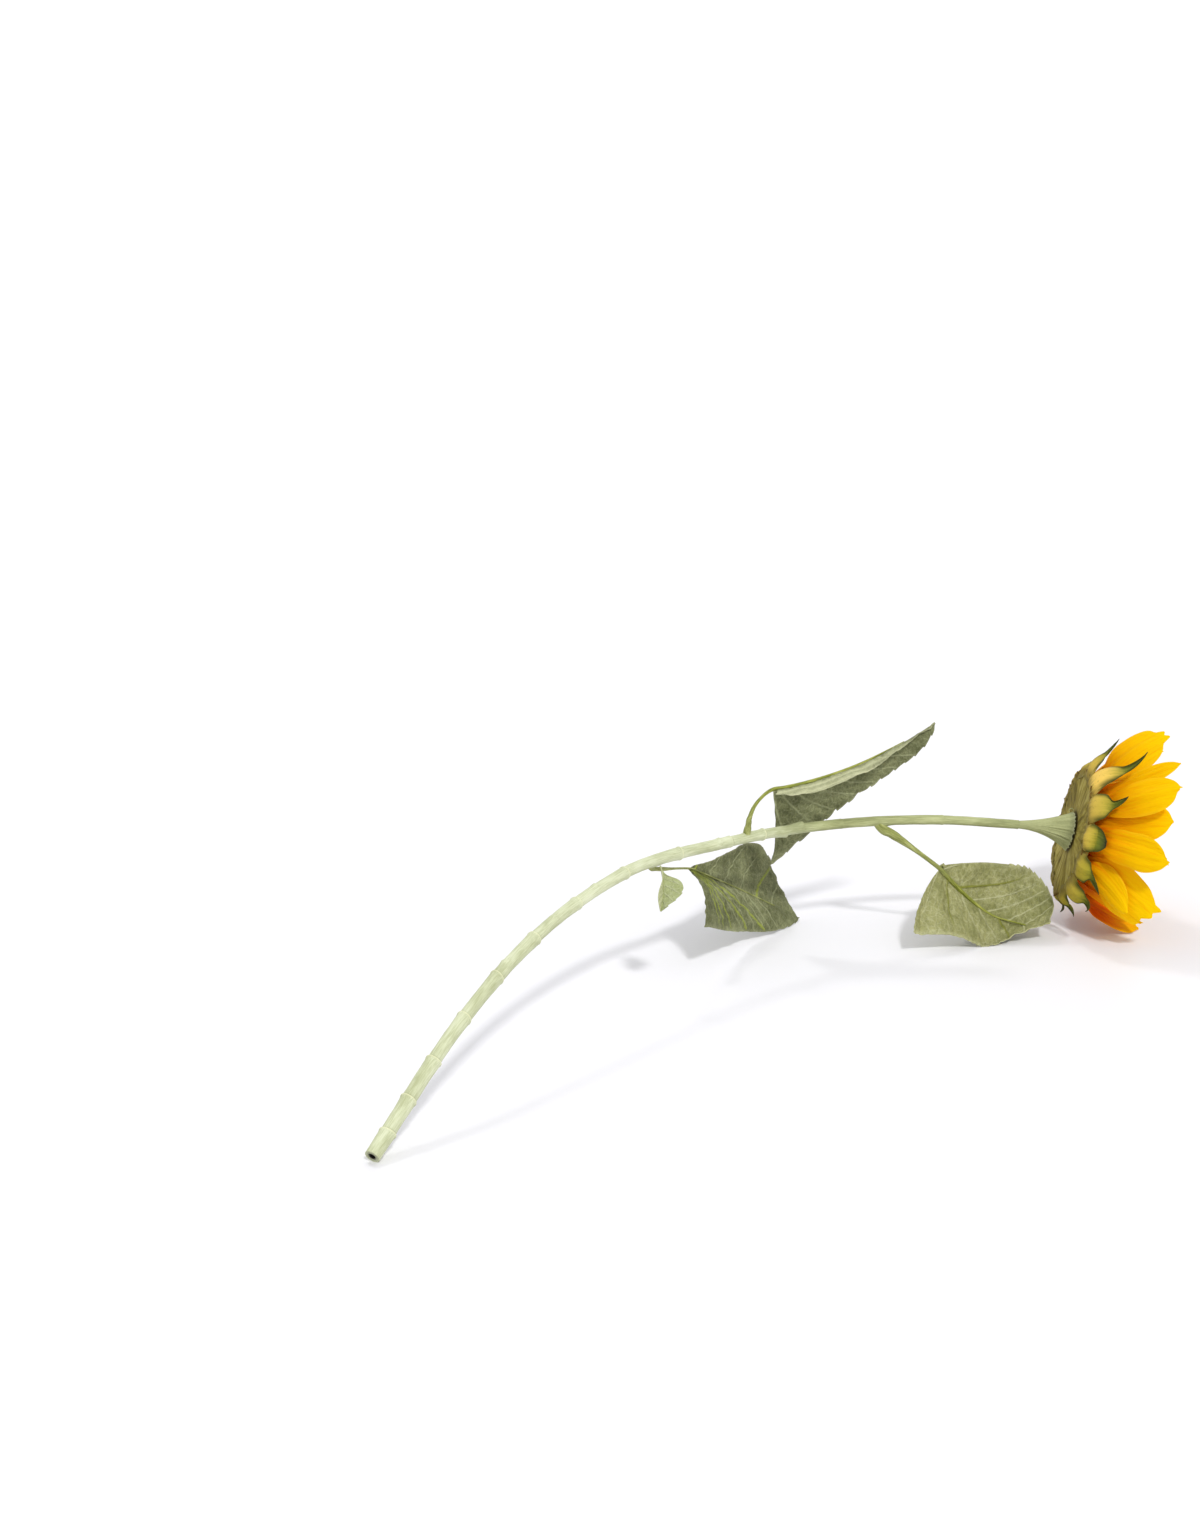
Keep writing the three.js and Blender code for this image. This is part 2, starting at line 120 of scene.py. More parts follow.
class Path:
    # a curve through close points, read by the distance along it
    def __init__(self, points):
        self.points = np.array(points, float)
        steps = np.linalg.norm(np.diff(self.points, axis=0), axis=1)
        self.distance = np.concatenate([[0], np.cumsum(steps)])
        self.length = self.distance[-1]
        self.slopes = unit(np.gradient(self.points, self.distance, axis=0))

    def at(self, distance):
        # the point, the tangent, the level right side and the top at each distance
        def read(table):
            return np.stack([np.interp(distance, self.distance, table[:, k]) for k in range(3)], -1)
        tangent = unit(read(self.slopes))
        side = unit(np.cross(tangent, worldUp))
        return read(self.points), tangent, side, np.cross(side, tangent)

    def rings(self, distance, x, y):
        # points at a distance along the curve, x to its side and y to its top
        point, _, side, top = self.at(distance)
        return point + x[..., None] * side + y[..., None] * top


def splinePoints(points, steps=60):
    # a centripetal Catmull-Rom curve: each knot step is the square root of the chord
    p = np.array(points, float)
    p = np.vstack([2 * p[0] - p[1], p, 2 * p[-1] - p[-2]])
    t = np.linspace(0, 1, steps, endpoint=False)[:, None]
    rows = []
    for a, b, c, d in zip(p, p[1:], p[2:], p[3:]):
        before, here, after = (math.sqrt(np.linalg.norm(e)) for e in (b - a, c - b, d - c))
        leave = ((b - a) / before - (c - a) / (before + here) + (c - b) / here) * here
        arrive = ((c - b) / here - (d - b) / (here + after) + (d - c) / after) * here
        square = -3 * b + 3 * c - 2 * leave - arrive
        cube = 2 * b - 2 * c + leave + arrive
        rows.append(b + leave * t + square * t**2 + cube * t**3)
    return np.vstack([*rows, p[-2:-1]])


def arcThrough(a, b, c, steps=200):
    # a quadratic Bezier curve from a to c, drawn towards b
    a, b, c = (np.array(q, float) for q in (a, b, c))
    t = np.linspace(0, 1, steps)[:, None]
    return a * (1 - t) ** 2 + b * 2 * t * (1 - t) + c * t**2


stemPath = Path(splinePoints(stem["line"]))
headCentre = np.array(head["centre"], float)
turn, nod = head["turn"] * degree, head["nod"] * degree
headAxis = np.array([math.cos(nod) * math.cos(turn), math.cos(nod) * math.sin(turn), -math.sin(nod)])
headSide = unit(np.cross(worldUp, headAxis))
headTop = np.cross(headAxis, headSide)


def stemRadius(distance):
    # an even taper from the cut end to the neck
    return between(stem["cutRadius"], stem["neckRadius"], distance / stemPath.length)


def cutCorner():
    # the lowest corner of the solid stem's cut end, which is the lowest corner of the whole solid stem
    point, _, side, top = stemPath.at(0.0)
    angle = np.arange(stem["solidSides"])[:, None] * 2 * math.pi / stem["solidSides"]
    ring = point + stem["cutRadius"] * (side * np.cos(angle) + top * np.sin(angle))
    return ring.min(0)


shift = np.array(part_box("stem")[0]) / mm - cutCorner()  # from the stem line's own origin to the row's
print("frame loaded, shift in mm", shift.round(2))


def headPoints(radius, angle, height, across=0.0):
    # points by radius and angle around the head's axis, height along it, and a step along the circle
    x = radius * np.cos(angle) - across * np.sin(angle)
    y = radius * np.sin(angle) + across * np.cos(angle)
    return headCentre + x[..., None] * headSide + y[..., None] * headTop + height[..., None] * headAxis


def numbered(grid):
    # a grid's points numbered row by row
    return np.arange(grid.shape[0] * grid.shape[1]).reshape(grid.shape[:2])


def flattened(grid):
    # a grid's rows one after the other
    return grid.reshape(-1, *grid.shape[2:])


def gridFaces(index, closed=False):
    # a face on each four neighbours of a grid; a closed one joins its last column to its first
    if closed:
        index = np.concatenate([index, index[:, :1]], 1)
    cells = index[:-1, :-1], index[1:, :-1], index[1:, 1:], index[:-1, 1:]
    return np.stack(cells, -1).reshape(-1, 4)


def eachMark(grid, marks, finish):
    # each mark brought to the grid's size, flattened and then closed as the points are
    size = grid.shape[:2]
    return {name: finish(np.broadcast_to(value, (*size, *np.shape(value)[2:])))
            for name, value in marks.items()}


def shapeOf(points, quads, tris, marks):
    # a closed shape whose faces point out: all are turned round where its volume comes out negative
    allTris = np.concatenate([quads[:, [0, 1, 2]], quads[:, [0, 2, 3]], tris])
    a, b, c = (points[allTris[:, k]] - points[0] for k in range(3))
    if np.einsum("ij,ij", a, np.cross(b, c)) < 0:
        quads, tris = quads[:, ::-1], tris[:, ::-1]
    return {"points": points, "quads": quads, "tris": tris, "marks": marks}


def sheetShape(middle, thickness, marks):
    # two copies of a grid of points, half the thickness to each side along its normal, joined at the edge
    normal = unit(np.cross(np.gradient(middle, axis=0), np.gradient(middle, axis=1)))
    half = np.asarray(thickness)[..., None] * 0.5 * normal
    index = numbered(middle)
    rim = np.concatenate([index[0, :-1], index[:-1, -1], index[-1, :0:-1], index[:0:-1, 0]])
    rimNext = np.roll(rim, -1)
    edge = np.stack([rim, rimNext, rimNext + index.size, rim + index.size], -1)
    quads = np.concatenate([gridFaces(index), gridFaces(index + index.size)[:, ::-1], edge])
    points = np.concatenate([flattened(middle + half), flattened(middle - half)])
    doubled = eachMark(middle, marks, lambda grid: np.concatenate([flattened(grid)] * 2))
    return shapeOf(points, quads, np.zeros((0, 3), int), doubled)


def tubeShape(rings, marks):
    # rings of points joined into a tube, each end closed on its own middle point
    def withEnds(grid):
        return np.concatenate([flattened(grid), grid[[0, -1]].mean(1)])
    index = numbered(rings)
    first, last = (np.full(rings.shape[1], index.size + k) for k in (0, 1))
    start = np.stack([first, np.roll(index[0], -1), index[0]], -1)
    end = np.stack([last, index[-1], np.roll(index[-1], -1)], -1)
    ends = np.concatenate([start, end])
    return shapeOf(withEnds(rings), gridFaces(index, True), ends, eachMark(rings, marks, withEnds))


def placed(name, data):
    # an object that holds the data, in the scene
    made = bpy.data.objects.new(name, data)
    bpy.context.scene.collection.objects.link(made)
    return made


def makePiece(name, shape, finish, slotName, *nodes):
    # a shape as a mesh in the row's frame, smooth but for creases over 50 degrees, in place of its solid
    mesh = bpy.data.meshes.new(name)
    points = (shape["points"] + shift) * mm
    mesh.from_pydata(points.tolist(), [], shape["quads"].tolist() + shape["tris"].tolist())
    for mark, value in shape["marks"].items():
        kind, field = ("FLOAT", "value") if value.ndim == 1 else ("FLOAT_VECTOR", "vector")
        mesh.attributes.new(mark, kind, "POINT").data.foreach_set(field, value.astype(np.float32).ravel())
    mesh.polygons.foreach_set("use_smooth", np.ones(len(mesh.polygons), bool))
    mesh.set_sharp_from_angle(angle=50 * degree)
    mesh.materials.append(finish)
    piece = placed(name, mesh)
    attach(piece, "root")
    if nodes:
        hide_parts(*nodes)


def colour(red, green, blue):
    # a screen colour of 0 to 255 as linear light
    def linear(c):
        c /= 255
        return c / 12.92 if c <= 0.04045 else ((c + 0.055) / 1.055) ** 2.4
    return (linear(red), linear(green), linear(blue), 1.0)


class Wire:
    # one output socket of a material, on which sums and products add their own Math nodes
    def __init__(self, paint, socket):
        self.paint = paint
        self.socket = socket

    def maths(self, operation, first, second):
        return self.paint.node("ShaderNodeMath", {"operation": operation}, {0: first, 1: second})

    def __add__(self, other):
        return self.maths("ADD", self, other)

    def __sub__(self, other):
        return self.maths("SUBTRACT", self, other)

    def __rsub__(self, other):
        return self.maths("SUBTRACT", other, self)

    def __mul__(self, other):
        return self.maths("MULTIPLY", self, other)

    __radd__ = __add__
    __rmul__ = __mul__


class Paint:
    # a material under construction; its colours are given as three numbers of 0 to 255
    def __init__(self, name):
        self.material = bpy.data.materials.new(name)
        self.material.use_nodes = True
        self.tree = self.material.node_tree
        self.tree.nodes.clear()

    def node(self, kind, settings, inputs, output=0):
        # one node: its settings first, then each input's link or value
        made = self.tree.nodes.new(kind)
        for key, value in settings.items():
            if key == "stops":
                while len(made.color_ramp.elements) < len(value):
                    made.color_ramp.elements.new(0.5)
                for element, (place, shade) in zip(made.color_ramp.elements, value):
                    element.position, element.color = place, colour(*shade)
            else:
                setattr(made, key, value)
        for key, value in inputs.items():
            if isinstance(value, Wire):
                self.tree.links.new(value.socket, made.inputs[key])
            else:
                made.inputs[key].default_value = value
        return Wire(self, made.outputs[output])

    def mark(self, name, output="Fac"):
        # a number that the mesh carries at each of its points
        return self.node("ShaderNodeAttribute", {"attribute_name": name}, {}, output)

    def places(self, name="cloth"):
        # a place on the flat cloth that the mesh carries at each of its points
        return self.mark(name, "Vector")

    def vectors(self, operation, first, second):
        return self.node("ShaderNodeVectorMath", {"operation": operation}, {0: first, 1: second})

    def noise(self, places, scale, detail=3.0, roughness=0.55):
        # clouds of one scale, or of three scales along the cloth's axes
        if isinstance(scale, tuple):
            places, scale = self.vectors("MULTIPLY", places, scale), 1.0
        inputs = {"Vector": places, "Scale": scale, "Detail": detail, "Roughness": roughness}
        return self.node("ShaderNodeTexNoise", {}, inputs)

    def band(self, value, low, high, bottom=0.0, top=1.0):
        # value taken evenly from low..high to bottom..top, and held beyond them
        settings = {"interpolation_type": "SMOOTHSTEP"}
        inputs = {"Value": value, "From Min": low, "From Max": high, "To Min": bottom, "To Max": top}
        return self.node("ShaderNodeMapRange", settings, inputs)

    def mix(self, factor, *pair):
        # the first shade where the factor is 0 and the second where it is 1
        first, second = (shade if isinstance(shade, Wire) else colour(*shade) for shade in pair)
        settings = {"data_type": "RGBA", "clamp_factor": True}
        return self.node("ShaderNodeMix", settings, {0: factor, 6: first, 7: second}, 2)

    def ramp(self, value, shades, places=(0.0, 0.5, 1.0)):
        # shades that follow one another at places on a value
        return self.node("ShaderNodeValToRGB", {"stops": list(zip(places, shades))}, {"Fac": value})

    def finish(self, inputs, glow=None, share=0.0):
        # a plain surface, and with a glow colour a share of light that passes through the cloth
        surface = self.node("ShaderNodeBsdfPrincipled", {}, inputs)
        if glow is not None:
            through = self.node("ShaderNodeBsdfTranslucent", {}, {"Color": colour(*glow)})
            surface = self.node("ShaderNodeMixShader", {}, {0: share, 1: surface, 2: through})
        self.node("ShaderNodeOutputMaterial", {}, {"Surface": surface}, slice(0, 0))
        return self.material

    def cover(self, look, shown, fleck, height, share=0.0):
        # a matt surface: rougher where the fleck is high, and raised by height to the look's relief
        depth, strength = look["relief"]
        relief = {"Height": height, "Distance": depth * mm, "Strength": strength}
        inputs = {"Base Color": shown, "Roughness": self.band(fleck, 0.3, 0.7, *look["rough"]),
                  "Specular IOR Level": look["gloss"],
                  "Normal": self.node("ShaderNodeBump", {}, relief)}
        return self.finish(inputs, look.get("glow"), share)


def cameraAndLight():
    # the camera stands in the stem's own plan, looks along its turn and is pitched down, without roll
    view = {"place": [-641.6, -926.6, 515.0], "turn": -41.1, "pitch": 14.5, "sensor": 36.0, "lens": 66.0}
    # the key light comes from the camera's side, a little from the right and about halfway up
    lights = {"key": {"power": 1.75, "size": 6, "turn": -24, "height": 46},
              "back": {"power": 0.45, "size": 9, "turn": 175, "height": 58}}
    sky = {"Color": (0.98, 0.99, 1.0, 1.0), "Strength": 0.72}
    lens = bpy.data.cameras.new("camera")
    lens.sensor_fit, lens.sensor_width, lens.lens = "HORIZONTAL", view["sensor"], view["lens"]
    lens.clip_start, lens.clip_end = 0.01, 60.0
    camera = placed("camera", lens)
    camera.location = (np.array(view["place"]) + shift) * mm
    camera.rotation_euler = ((90 - view["pitch"]) * degree, 0, view["turn"] * degree)
    bpy.context.scene.camera = camera
    for name, light in lights.items():
        lamp = placed(f"{name}_light", bpy.data.lights.new(f"{name}_light", "SUN"))
        lamp.data.energy = light["power"]
        lamp.data.angle = light["size"] * degree
        lamp.rotation_euler = ((90 - light["height"]) * degree, 0, light["turn"] * degree)
    world = bpy.data.worlds.new("studio")
    world.use_nodes = True
    for key, value in sky.items():
        world.node_tree.nodes["Background"].inputs[key].default_value = value
    bpy.context.scene.world = world
    bpy.context.scene.view_settings.view_transform = "Standard"


def studioFloor():
    # a round floor whose edge sweeps up in a quarter circle, out of one profile of radius and height
    look = {"inner": [1, 1000, 2500], "flat": 4000, "sweep": 2500, "columns": 96, "rows": 24,
            "paper": [(236, 235, 238), (239, 238, 241)], "clouds": 3.0, "rough": 0.55}
    turn = np.linspace(0, math.pi / 2, look["rows"])
    radius = np.concatenate([look["inner"], look["flat"] + look["sweep"] * np.sin(turn)])[:, None]
    height = np.concatenate([[0, 0, 0], look["sweep"] * (1 - np.cos(turn))])[:, None]
    angle = roundAngles(look["columns"])
    rings = stacked(radius * np.cos(angle), radius * np.sin(angle), height)
    index = numbered(rings)
    mesh = bpy.data.meshes.new("floor")
    quads = gridFaces(index, True)
    mesh.from_pydata((flattened(rings) * mm).tolist(), [], quads.tolist() + [index[0].tolist()])
    mesh.polygons.foreach_set("use_smooth", np.ones(len(mesh.polygons), bool))
    paint = Paint("floor_paper")
    where = paint.node("ShaderNodeTexCoord", {}, {}, "Object")
    shade = paint.mix(paint.band(paint.noise(where, look["clouds"]), 0.3, 0.7), *look["paper"])
    mesh.materials.append(paint.finish({"Base Color": shade, "Roughness": look["rough"]}))
    floor = placed("floor", mesh)


cameraAndLight()
studioFloor()
print("camera, light and floor made")

# Shades run from where the grain is low to where it is high. contrast is how far the grain takes them.
sleeveLook = {
    # On the next line the lip colour is a pale tint with a painted highlight and the other two are painted
    # shade; the tones after them are painted shade too.
    "lip": (228, 228, 186), "groove": (112, 116, 74), "inside": (34, 30, 22),
    "shadedTones": [(124, 129, 82), (160, 165, 114), (194, 198, 148)],
    "rough": (0.5, 0.68), "gloss": 0.3, "relief": (0.35, 0.6),
}
sleeveShades = {
    "stem_sleeve": {"shades": [(164, 169, 125), (199, 204, 167), (220, 224, 194)], "contrast": 0.85},
    "cup_sleeve": {"shades": [(134, 138, 92), (167, 171, 120), (190, 194, 144)], "contrast": 0.55},
    "stalk_sleeve": {"shades": [(126, 132, 66), (168, 172, 104), (196, 200, 136)], "contrast": 1.0},
}


def sleevePaint(name):
    # colour: the shades by lengthwise grain, paler at the lips in a light tint with a painted highlight, and
    # painted shade in the grooves, in the hollows inside and on the stem's part near the head
    look = {**sleeveLook, **sleeveShades[name]}
    paint = Paint(name)
    cloth = paint.places()
    grain = paint.noise(cloth, (2.2, 2.2, 0.09), 4.0, 0.6)
    mottle = paint.noise(cloth, (0.12, 0.12, 0.035))
    fine = paint.noise(cloth, (5.0, 5.0, 1.2), 2.0)
    half = look["contrast"] / 2
    tone = paint.band(grain * 0.6 + mottle * 0.55 - 0.08, 0.3, 0.72, 0.5 - half, 0.5 + half)
    # the lips take a light tint with a painted highlight on their round
    lipped = paint.mix(paint.mark("lip") * 0.65, paint.ramp(tone, look["shades"]), look["lip"])
    # painted shade in the grooves
    grooveShaded = paint.mix(paint.mark("groove") * 0.75, lipped, look["groove"])
    # painted shade: the stem's part near the head takes darker tones
    shaded = paint.mix(paint.mark("deep"), grooveShaded, paint.ramp(tone, look["shadedTones"]))
    # painted shade in the hollows inside
    shown = paint.mix(paint.mark("inside"), shaded, look["inside"])
    return paint.cover(look, shown, grain, grain * 0.6 + fine * 0.25 + mottle * 0.3)


def stemPiece():
    # radius = taper + a sleeve that widens with the fourth power of its length + a round lip at its end
    look = {
        "columns": 44, "step": 0.9, "clear": 2.6, "narrow": 0.3, "widening": 0.52, "oval": 0.09,
        "lip": 0.3, "lipBack": 0.7, "lipLength": 0.85, "groove": 0.5, "tilt": 0.55, "tiltReach": 5,
        "kink": 0.4, "kinksEnd": 560, "mouldLine": 0.12, "mouldWidth": 0.35, "flareWidth": 3.4,
        "ragged": 0.16, "socket": 0.9, "socketAfter": 2.5, "socketLength": 4.5, "socketWidth": 3.2,
        # the first entry on the next line is the stretch along the stem over which a painted shade comes in
        # towards the head
        "deep": (425, 490), "lipShares": [1, 1, 1, 1, 1, 1, 1, 1, 1, 0.5, 1, 0.3, 0.35, 0.2],
        # extra rows at their distances from each seam, and at the two long flares
        "seamRows": [-2.4, -1.7, -1.2, -0.85, -0.6, -0.4, -0.22, -0.08, 0.02, 0.12, 0.3, 0.7, 1.3, 2.0],
        "flareRows": [453.6, 454, 454.4, 467.1, 467.5, 467.9],
        # each flare: where a sleeve end stands out, its direction around the stem, its rise and its length
        "flares": [[467, 80, 1.7, 15], [453.5, -95, 1.5, 16], [391, 70, 0.8, 5], [262, 100, 0.8, 6],
                   [214, 60, 0.6, 4], [160, 110, 0.7, 5]],
        # the cut end from the bottom of its hole outwards: distance, radius, darkness and share of raggedness;
        # the darkness is painted shade, full in the hole
        "cutEnd": [[15.9, 1.9, 1, 1], [12, 1.9, 1, 1], [8, 1.9, 1, 1], [4, 1.9, 1, 1], [1.5, 1.9, 1, 1],
                   [0.3, 1.9, 1, 1], [0.1, 2.2, 0.75, 0.4], [0, 3.2, 0.35, 0.4], [0, 4.15, 0.2, 0.4]],
    }
    seams = np.array(stem["seams"], float)
    even = np.arange(0.3, stemPath.length, look["step"])
    even = even[np.abs(even[:, None] - seams).min(1) > look["clear"]]
    beside = (seams[:, None] + look["seamRows"]).ravel()
    rows = np.unique(np.concatenate([[0.05], even, look["flareRows"], beside, [stemPath.length]]))
    angle = roundAngles(look["columns"])
    d, a = np.meshgrid(rows, angle, indexing="ij")
    rng = np.random.default_rng(7)
    radius, lip, groove, along = stemRadius(d), 0 * d, 0 * d, d.copy()
    edges = [-12.0, *seams, stemPath.length]
    for start, end, lipShare in zip(edges, edges[1:], look["lipShares"]):
        tilt, phase, oval = rng.uniform(0.3, 1.0), rng.uniform(0, 2 * math.pi), rng.uniform(0, math.pi)
        share = np.clip((d - start) / (end - start), 0, 1)
        inside = (d >= start) & (d < end)
        radius += inside * (look["widening"] * lipShare * share**4 - look["narrow"])
        radius += inside * look["oval"] * np.cos(2 * (a - oval))
        radius += inside * look["lip"] * lipShare * hump(d, end - look["lipBack"], look["lipLength"])
        lip += inside * lipShare * hump(d, end - 0.25, 0.6)
        # the groove mark is painted shade in the groove where each sleeve starts
        groove += inside * hump(d, start, look["groove"])
        along += look["tilt"] * tilt * np.cos(a - phase) * hump(d, end, look["tiltReach"])
    radius += 0.06 * waves(d * 0.09, 2 * np.cos(a), 11) + 0.05 * waves(d * 0.5, 3 * np.sin(a), 12)
    radius += look["mouldLine"] * hump(np.abs(np.sin(a)) * 4, 4, look["mouldWidth"])

    def onSide(leave, width):
        # 1 on the line along the stem at an angle, falling off around it
        return hump(np.angle(np.exp(1j * (a - leave * degree))) * stem["neckRadius"], 0, width)

    for place, leave in stem["stalks"].values():
        swelling = look["socket"] * hump(d, place + look["socketAfter"], look["socketLength"])
        radius += swelling * onSide(leave, look["socketWidth"])
    for place, leave, rise, size in look["flares"]:
        wedge = np.clip((d - place + size) / size, 0, 1) ** 1.6 * smooth(place + 0.9, place, d)
        radius += rise * wedge * onSide(leave, look["flareWidth"])
    distance, size, dark, share = np.array(look["cutEnd"], float).T[..., None]
    radius = np.concatenate([size + share * look["ragged"] * ringWaves(angle, 3, [3, 5, 8]), radius])
    along = np.concatenate([distance + 0 * angle, np.clip(along, 0.05, stemPath.length)])
    lip, groove = (np.concatenate([0 * dark + 0 * angle, mark]) for mark in (lip, groove))
    x, y = radius * np.cos(angle), radius * np.sin(angle)
    # inside is painted shade in the cut end's hole; the last mark is the painted shade near the head
    marks = {"cloth": stacked(x, y, along), "lip": lip, "groove": groove,
             "inside": np.concatenate([dark, np.zeros((len(rows), 1))]), "deep": smooth(*look["deep"], along)}
    kinks = rng.uniform(-look["kink"], look["kink"], (2, len(seams)))
    kinks[:, seams > look["kinksEnd"]] = 0
    places = np.concatenate([[0], seams, [stemPath.length]])
    x, y = (value + np.interp(along, places, [0, *kink, 0]) for value, kink in zip((x, y), kinks))
    rings = stemPath.rings(along, x, y)
    makePiece("ringed_stem", tubeShape(rings, marks), sleevePaint("stem_sleeve"), "stem_plastic", "stem")


def cupPiece():
    # radius = a trumpet from the neck to the mouth + pleats that deepen towards a crimped, uneven rim
    look = {
        "neckRadius": 2.75, "mouthRadius": 13.5, "gap": 0.6, "columns": 176, "rows": 90, "pleat": 0.42,
        "crimp": 0.35, "rim": 1.1, "scallop": 0.55, "intoStem": 1.6,
        # inside the mouth: steps in from the rim and back along the cup, then a plug's radii and distances
        "inner": [[0.35, -0.45], [1.2, -1.3], [1.9, -2.6]], "plug": [[10.9, -2.4], [10.4, 0.1], [5, 0.15]],
        # how dark the rows inside the mouth and the plug are: painted shade
        "dark": [0.55, 0.85, 1, 1, 1, 1],
    }
    start, tangent, _, _ = stemPath.at(stemPath.length)
    start = start + tangent * look["gap"]
    reach = np.linalg.norm(headCentre - start) / 2
    line = arcThrough(start, headCentre - headAxis * reach, headCentre)
    path = Path(np.vstack([start - tangent * look["intoStem"], line]))
    angle = roundAngles(look["columns"])
    u = np.linspace(0, 1, look["rows"])[:, None] ** 0.9
    pleats = ringWaves(angle, 21, [7, 11, 16, 23, 31])
    radius = between(look["neckRadius"], look["mouthRadius"], 0.25 * u + 0.75 * u**2.4)
    radius = radius + look["pleat"] * pleats * smooth(0.1, 1, u) ** 1.3 + look["crimp"] * smooth(0.93, 1, u)
    end = path.length - look["rim"] - look["scallop"] * ringWaves(angle, 22, [13, 19, 27, 38])
    stepIn, back = np.array(look["inner"]).T[..., None]
    plugRadius, plugPlace = np.array(look["plug"]).T[..., None]
    radius = np.concatenate([radius, radius[-1] - stepIn, plugRadius + 0.25 * pleats])
    along = np.concatenate([u * end, end + back, path.length + plugPlace + 0 * angle])
    x, y = radius * np.cos(angle), radius * np.sin(angle)
    none = np.zeros((len(look["dark"]), len(angle)))
    lip = np.concatenate([smooth(0.965, 1, u) + 0 * angle, none])
    # painted shade in the valleys between the pleats, growing towards the mouth
    groove = np.concatenate([smooth(0.5, -1.6, pleats) * smooth(0.2, 1, u) * 0.5, none])
    inside = np.concatenate([np.zeros(look["rows"]), look["dark"]])[:, None]
    marks = {"cloth": stacked(x, y, along), "lip": lip * 0.4, "groove": groove, "inside": inside, "deep": 0.0}
    cup = tubeShape(path.rings(along, x, y), marks)
    makePiece("pleated_cup", cup, sleevePaint("cup_sleeve"), "stem_plastic", "flower_cup")
    cupThread(path)


def ringsAlong(path, radius):
    # rings around a path in even steps, with a radius for each row and column, and their places on the cloth
    distance = np.linspace(0, path.length, len(radius))[:, None]
    angle = roundAngles(radius.shape[1])
    x, y = radius * np.cos(angle), radius * np.sin(angle)
    return path.rings(distance, x, y), stacked(x, y, distance)


def cupThread(path):
    # a loose thread that curls up from the rim in a small open loop
    look = {"angle": 100, "radius": 0.32, "loop": 1.7, "turns": 0.875, "rise": 12.9, "back": 3.2,
            "rows": 40, "columns": 8}
    t = np.linspace(0, 1, look["rows"])[:, None]
    angle = look["angle"] * degree
    point, tangent, side, top = path.at(path.length - look["back"])
    out = side * math.cos(angle) + top * math.sin(angle)
    swing = t * look["turns"] * 2 * math.pi
    rise = look["rise"] + look["loop"] * (1 - np.cos(swing))
    slide = look["loop"] * np.sin(swing) + 0.6 * t
    points = point + rise * out + slide * tangent + 0.8 * t * np.cross(out, tangent)
    rings, cloth = ringsAlong(Path(points), look["radius"] * (1 - 0.5 * t**3) * np.ones(look["columns"]))
    marks = {"cloth": cloth, "lip": 0.3, "groove": 0.0, "inside": 0.0, "deep": 0.0}
    makePiece("cup_thread", tubeShape(rings, marks), sleevePaint("stalk_sleeve"), "stem_plastic")


stemPiece()
cupPiece()
print("stem and cup made")


def calyxPaint():
    # colour: olive brown with streaks that run out from the middle, browner at the ragged rim, and painted
    # shade on the front under the disc and around the cup's mouth
    look = {"shades": [(100, 88, 36), (142, 127, 54), (178, 164, 88)], "rim": (98, 70, 26),
            "inside": (48, 36, 14), "rough": (0.7, 0.88), "gloss": 0.12, "relief": (0.5, 0.8)}
    paint = Paint("calyx_cloth")
    cloth = paint.places()
    streak = paint.noise(cloth, (9.0, 9.0, 0.07), 4.0, 0.6)
    patch = paint.noise(cloth, (2.4, 2.4, 0.05))
    weave = paint.noise(paint.places("spot"), 2.2, 2.0)
    body = paint.ramp(paint.band(streak * 0.65 + patch * 0.45, 0.36, 0.74), look["shades"])
    rimmed = paint.mix(paint.mark("rim"), body, look["rim"])
    # painted shade where the inside mark is
    shown = paint.mix(paint.mark("inside"), rimmed, look["inside"])
    return paint.cover(look, shown, weave, streak * 0.9 + weave * 0.3)


def calyxPiece():
    # a dished disc of cloth: radius and height by a smooth outline, wrinkled outwards, with a torn rim
    look = {
        "columns": 288, "rows": 84, "wrinkle": 0.6, "tear": 4.2, "flare": 1.7,
        "radii": [0.5, 14, 24, 34, 40, 43.5, 45.2, 45.6, 44.9, 43.2, 40.5, 20, 0.5],
        "heights": [0.3, 0.3, 0.2, 0.1, 0.1, 0.3, 0.9, 1.9, 3.4, 5.0, 5.9, 6, 6],
    }
    steps = np.arange(len(look["radii"]), dtype=float)
    spread = np.interp(np.linspace(0, 1, look["rows"]), [0, 0.42, 0.85, 1], [0, 4, 10, 12])[:, None]
    radius, height = (throughValues(steps, look[key], spread) for key in ("radii", "heights"))
    angle = roundAngles(look["columns"])
    back = smooth(9, 7, spread)
    rim = hump(spread, 6.2, 1.1)
    wrinkles = ringWaves(angle, 31, [9, 17, 26, 41, 57])
    broad = ringWaves(angle, 32, [3, 5, 8])
    tear = ringWaves(angle, 33, [11, 19, 31, 47, 64])
    outer = smooth(12, 44, radius)
    height = height - back * look["wrinkle"] * outer * (wrinkles * 0.6 + broad * 0.7)
    height = height - rim * look["flare"] * (0.35 + 0.5 * np.abs(tear))
    radius = radius + rim * look["tear"] * (0.5 * tear + 0.15 * broad)
    marks = {"cloth": stacked(np.cos(angle), np.sin(angle), radius),
             "spot": stacked(radius * np.cos(angle), radius * np.sin(angle), height),
             "rim": rim * (0.6 + 0.4 * tear),
             # inside: painted shade on the front face under the disc and in the gap around the cup's mouth
             "inside": smooth(9, 10, spread) + hump(radius, 13.5, 2.2) * back * 0.8}
    rings = headPoints(radius, angle, height)
    makePiece("calyx_back", tubeShape(rings, marks), calyxPaint(), "calyx_fabric", "calyx")


